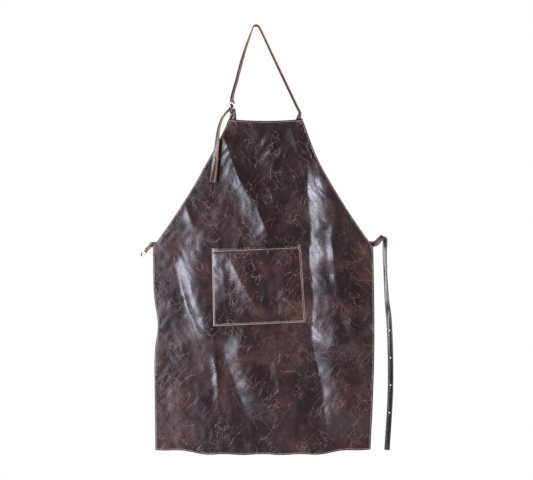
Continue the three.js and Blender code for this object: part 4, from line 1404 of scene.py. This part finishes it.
SOCKETS = {item.name: item.identifier for item in face.items_tree if item.in_out == "INPUT"}

print("stitching inputs", sorted(SOCKETS))

# %% Stitches along rows
def stitches(name, rows, pitch=0.0045, length=0.0036, thickness=0.0008, thread=waxed_thread):
    """rows is a list of point lists; each becomes one row of stitches."""
    points, edges = [], []
    for row in rows:
        first = len(points)
        points += [tuple(p) for p in row]
        edges += [(first + i, first + i + 1) for i in range(len(row) - 1)]
    mesh = bpy.data.meshes.new(name + "_rows")
    mesh.from_pydata(points, edges, [])
    lines = bpy.data.objects.new(name + "_rows", mesh)
    bpy.context.collection.objects.link(lines)
    modifier = lines.modifiers.new("stitches", "NODES")
    modifier.node_group = stitch_tree
    for label, value in (
        ("Pitch", pitch), ("Stitch Length", length), ("Thread", thickness), ("Material", thread)
    ):
        modifier[SOCKETS[label]] = value
    made = bpy.data.meshes.new_from_object(
        lines.evaluated_get(bpy.context.evaluated_depsgraph_get())
    )
    lines.modifiers.remove(modifier)
    bpy.data.objects.remove(lines)
    piece = bpy.data.objects.new(name, made)
    bpy.context.collection.objects.link(piece)
    made.name = name
    print(name, "has", len(made.vertices), "points")
    return piece


# %% [markdown]
# One row runs all round the panel, four millimetres from its folded edge. The pocket has a row along
# its sides and base, one along its mouth, and a few stitches doubled at the corners of the mouth,
# where hands pull at it. A short arc of stitches at each top corner of the bib shows where the neck
# strap and the chape are sewn on behind.

# %% Stitches on the panel and the pocket
def on_panel(x, z):
    return Vector((float(x), float(front_y(x, z)) - 0.0001, float(worked_z(x, z))))


EDGE_STITCH = 4 * MM
low, high = hem + EDGE_STITCH, bib_top - EDGE_STITCH
down_z = np.linspace(high, low, 300)
left_row = [on_panel(left_edge(z) + EDGE_STITCH, z) for z in down_z]
right_row = [on_panel(right_edge(z) - EDGE_STITCH, z) for z in down_z]
top_row = [on_panel(x, high) for x in np.linspace(left_row[0].x, right_row[0].x, 60)]
hem_row = [on_panel(x, low) for x in np.linspace(left_row[-1].x, right_row[-1].x, 160)]
corner_turns = np.linspace(-0.3, math.pi * 0.75, 12)
right_hook = [
    on_panel(bib_right - 0.0115 + 0.0055 * math.cos(a), bib_top - 0.0105 + 0.0055 * math.sin(a))
    for a in corner_turns
]
left_arch = [
    on_panel(bib_left + 0.0125 - 0.0085 * math.cos(a), bib_top - 0.0125 + 0.0075 * math.sin(a))
    for a in np.linspace(0, math.pi, 14)
]
panel_stitches = stitches(
    "panel_edge_stitches", [left_row, top_row, right_row, hem_row, right_hook, left_arch],
    thickness=0.0010
)

# %% Stitches on the pocket
def on_pocket(across, down):
    x, z = pocket_place(across, down)
    layers = 2 if down * POCKET_DEPTH < MOUTH_TURN else 1
    y = float(pocket_inner_y(np.float64(across), np.float64(down))) - layers * LEATHER - 0.0001
    return Vector((float(x), y, float(z)))


side = 4.5 * MM / POCKET_BASE
base = 1 - 4.5 * MM / POCKET_DEPTH
mouth_line = 6 * MM / POCKET_DEPTH
u_row = [on_pocket(side, d) for d in np.linspace(mouth_line / 2, base, 90)]
u_row += [on_pocket(a, base) for a in np.linspace(side, 1 - side, 90)][1:]
u_row += [on_pocket(1 - side, d) for d in np.linspace(base, mouth_line / 2, 90)][1:]
mouth_row = [on_pocket(a, 9 * MM / POCKET_DEPTH) for a in np.linspace(side, 1 - side, 90)]
backstitches = [
    [on_pocket(a + s, d) for d in np.linspace(0.008, 0.055, 8)]
    for a, s in ((side, 0.006), (1 - side, -0.006))
]
pocket_stitches = stitches("pocket_stitches", [u_row, mouth_row, *backstitches], thickness=0.0012)


# %% [markdown]
# Each strap has a row of stitches along both edges and on both faces, and one across its loose end.
# The thread lies on the stations that shaped the strap, so the rows follow every bend and turn. It is
# pale on the tail and dark on the neck strap and the waist strap; on the waist strap the dark thread
# is painted shade.

# %% Stitches on the straps
def strap_rows(line, width, first=0.004, last=0.004, faces=(1, -1), across_end=True):
    """Two rows on each face, joined across the free end where there is one."""
    kept = [s for s in line if first <= s["at"] <= line[-1]["at"] - last]
    inset = width / 2 - STITCH_INSET
    rows = []
    for face in faces:
        lift = face * (STRAP_THICK / 2 - 0.0003)
        down = [place_on(s, -inset, lift) for s in kept]
        up = [place_on(s, inset, lift) for s in reversed(kept)]
        rows += [down + up] if across_end else [down, up]
    return rows


STRAP_PITCH, STRAP_STITCH = 0.0038, 0.003
neck_stitches = stitches(
    "neck_strap_stitches", strap_rows(neck_line, NECK_STRAP, 0.003, 0.001, across_end=False),
    STRAP_PITCH, STRAP_STITCH, 0.0006, dark_thread
)
tail_stitches = stitches(
    "neck_tail_stitches", strap_rows(tail_line, NECK_STRAP, 0.001, 0.003), STRAP_PITCH,
    STRAP_STITCH, 0.0010
)
root_stitches = stitches(
    "waist_root_stitches", strap_rows(root_line, WAIST_STRAP, 0.003, 0.001, across_end=False),
    STRAP_PITCH, STRAP_STITCH
)
# The waist strap's dark thread is painted shade, like its near-black leather.
drop_stitches = stitches(
    "waist_strap_stitches", strap_rows(drop_line, WAIST_STRAP, 0.001, 0.003), STRAP_PITCH,
    STRAP_STITCH, 0.0006, dark_thread
)

# %% Stitches on the folded loops
def loop_rows(line, width, first, last):
    """Rows on the two faces of a folded loop, joined below the bar."""
    kept = [s for s in line if first <= s["at"] <= last]
    inset = width / 2 - 2.6 * MM
    rows = []
    for face in (1, -1):
        lift = face * (loop_thick / 2 - 0.0001)
        across = [place_on(kept[0], a, lift) for a in np.linspace(inset, -inset, 7)]
        rows.append(
            [
                place_on(s, inset, lift) for s in reversed(kept)
            ] + across[1:-1] + [place_on(s, -inset, lift) for s in kept]
        )
    return rows


chape_stitches = stitches(
    "neck_chape_stitches", loop_rows(chape_line, NECK_STRAP, 0.011, 0.046), 0.0038, 0.003
)
tab_stitches = stitches(
    "waist_tab_stitches", loop_rows(tab_line, WAIST_STRAP, 0.011, 0.05), 0.0038, 0.003
)

# %% [markdown]
# Last, the pieces that ride whole are tied to the moving body they belong to. The straps, the tail
# and the folded loops only have their placing baked into their meshes and are tied to no body.

# %% Straps and loops baked in place
def across_joint(pieces):
    for piece in pieces:
        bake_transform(piece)


across_joint(
    (neck_strap, neck_stitches, chape, chape_stitches),
)
across_joint(
    (tail, tail_stitches),
)
across_joint(
    (waist_root, root_stitches),
)
across_joint(
    (waist_drop, drop_stitches),
)
across_joint(
    (tab, tab_stitches),
)

# %% Pieces that ride whole
for body, pieces in {
    "apron": (panel, panel_stitches, pocket, pocket_stitches),
    "neck_loop": (neck_wire,),
    "neck_roller": (neck_roller,),
    "neck_prong": (neck_prong,),
    "waist_buckle": (waist_wire,),
    "waist_roller": (waist_roller,),
    "waist_prong": (waist_prong,),
}.items():
    for piece in pieces:
        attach(piece, body)

# %% What each piece stands for
for piece, slot, nodes in (
    (panel, "apron_leather", ["main_panel"]),
    (panel_stitches, "stitching", ["edge_thread"]),
    (pocket, "apron_leather", ["pocket"]),
    (pocket_stitches, "stitching", ["pocket_thread", "pocket_mouth_thread"]),
    (neck_strap, "strap_leather", ["neck_strap_outer", "neck_strap_lining", "neck_strap_end"]),
    (neck_stitches, "stitching", ["neck_strap_thread"]),
    (tail, "strap_leather", ["neck_tail_outer", "neck_tail_lining"]),
    (tail_stitches, "stitching", ["neck_tail_thread"]),
    (chape, "apron_leather", ["neck_chape", "neck_chape_end"]),
    (chape_stitches, "stitching", []),
    (waist_root, "strap_leather", ["waist_root_outer", "waist_root_lining", "waist_strap_end"]),
    (root_stitches, "stitching", ["waist_root_thread"]),
    (waist_drop, "strap_leather", ["waist_strap_outer", "waist_strap_lining"]),
    (drop_stitches, "stitching", ["waist_strap_thread"]),
    (tab, "apron_leather", ["waist_tab", "waist_tab_end"]),
    (tab_stitches, "stitching", []),
    (neck_wire, "buckle_metal", ["neck_buckle_frame"]),
    (neck_roller, "buckle_metal", ["neck_buckle_roller"]),
    (neck_prong, "buckle_metal", ["neck_buckle_prong"]),
    (waist_wire, "buckle_metal", ["waist_buckle_frame"]),
    (waist_roller, "buckle_metal", ["waist_buckle_roller"]),
    (waist_prong, "buckle_metal", ["waist_buckle_prong"]),
):
    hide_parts(*nodes)

# %% [markdown]
# Last, the view layer is brought up to date.

# %% Last update
bpy.context.view_layer.update()
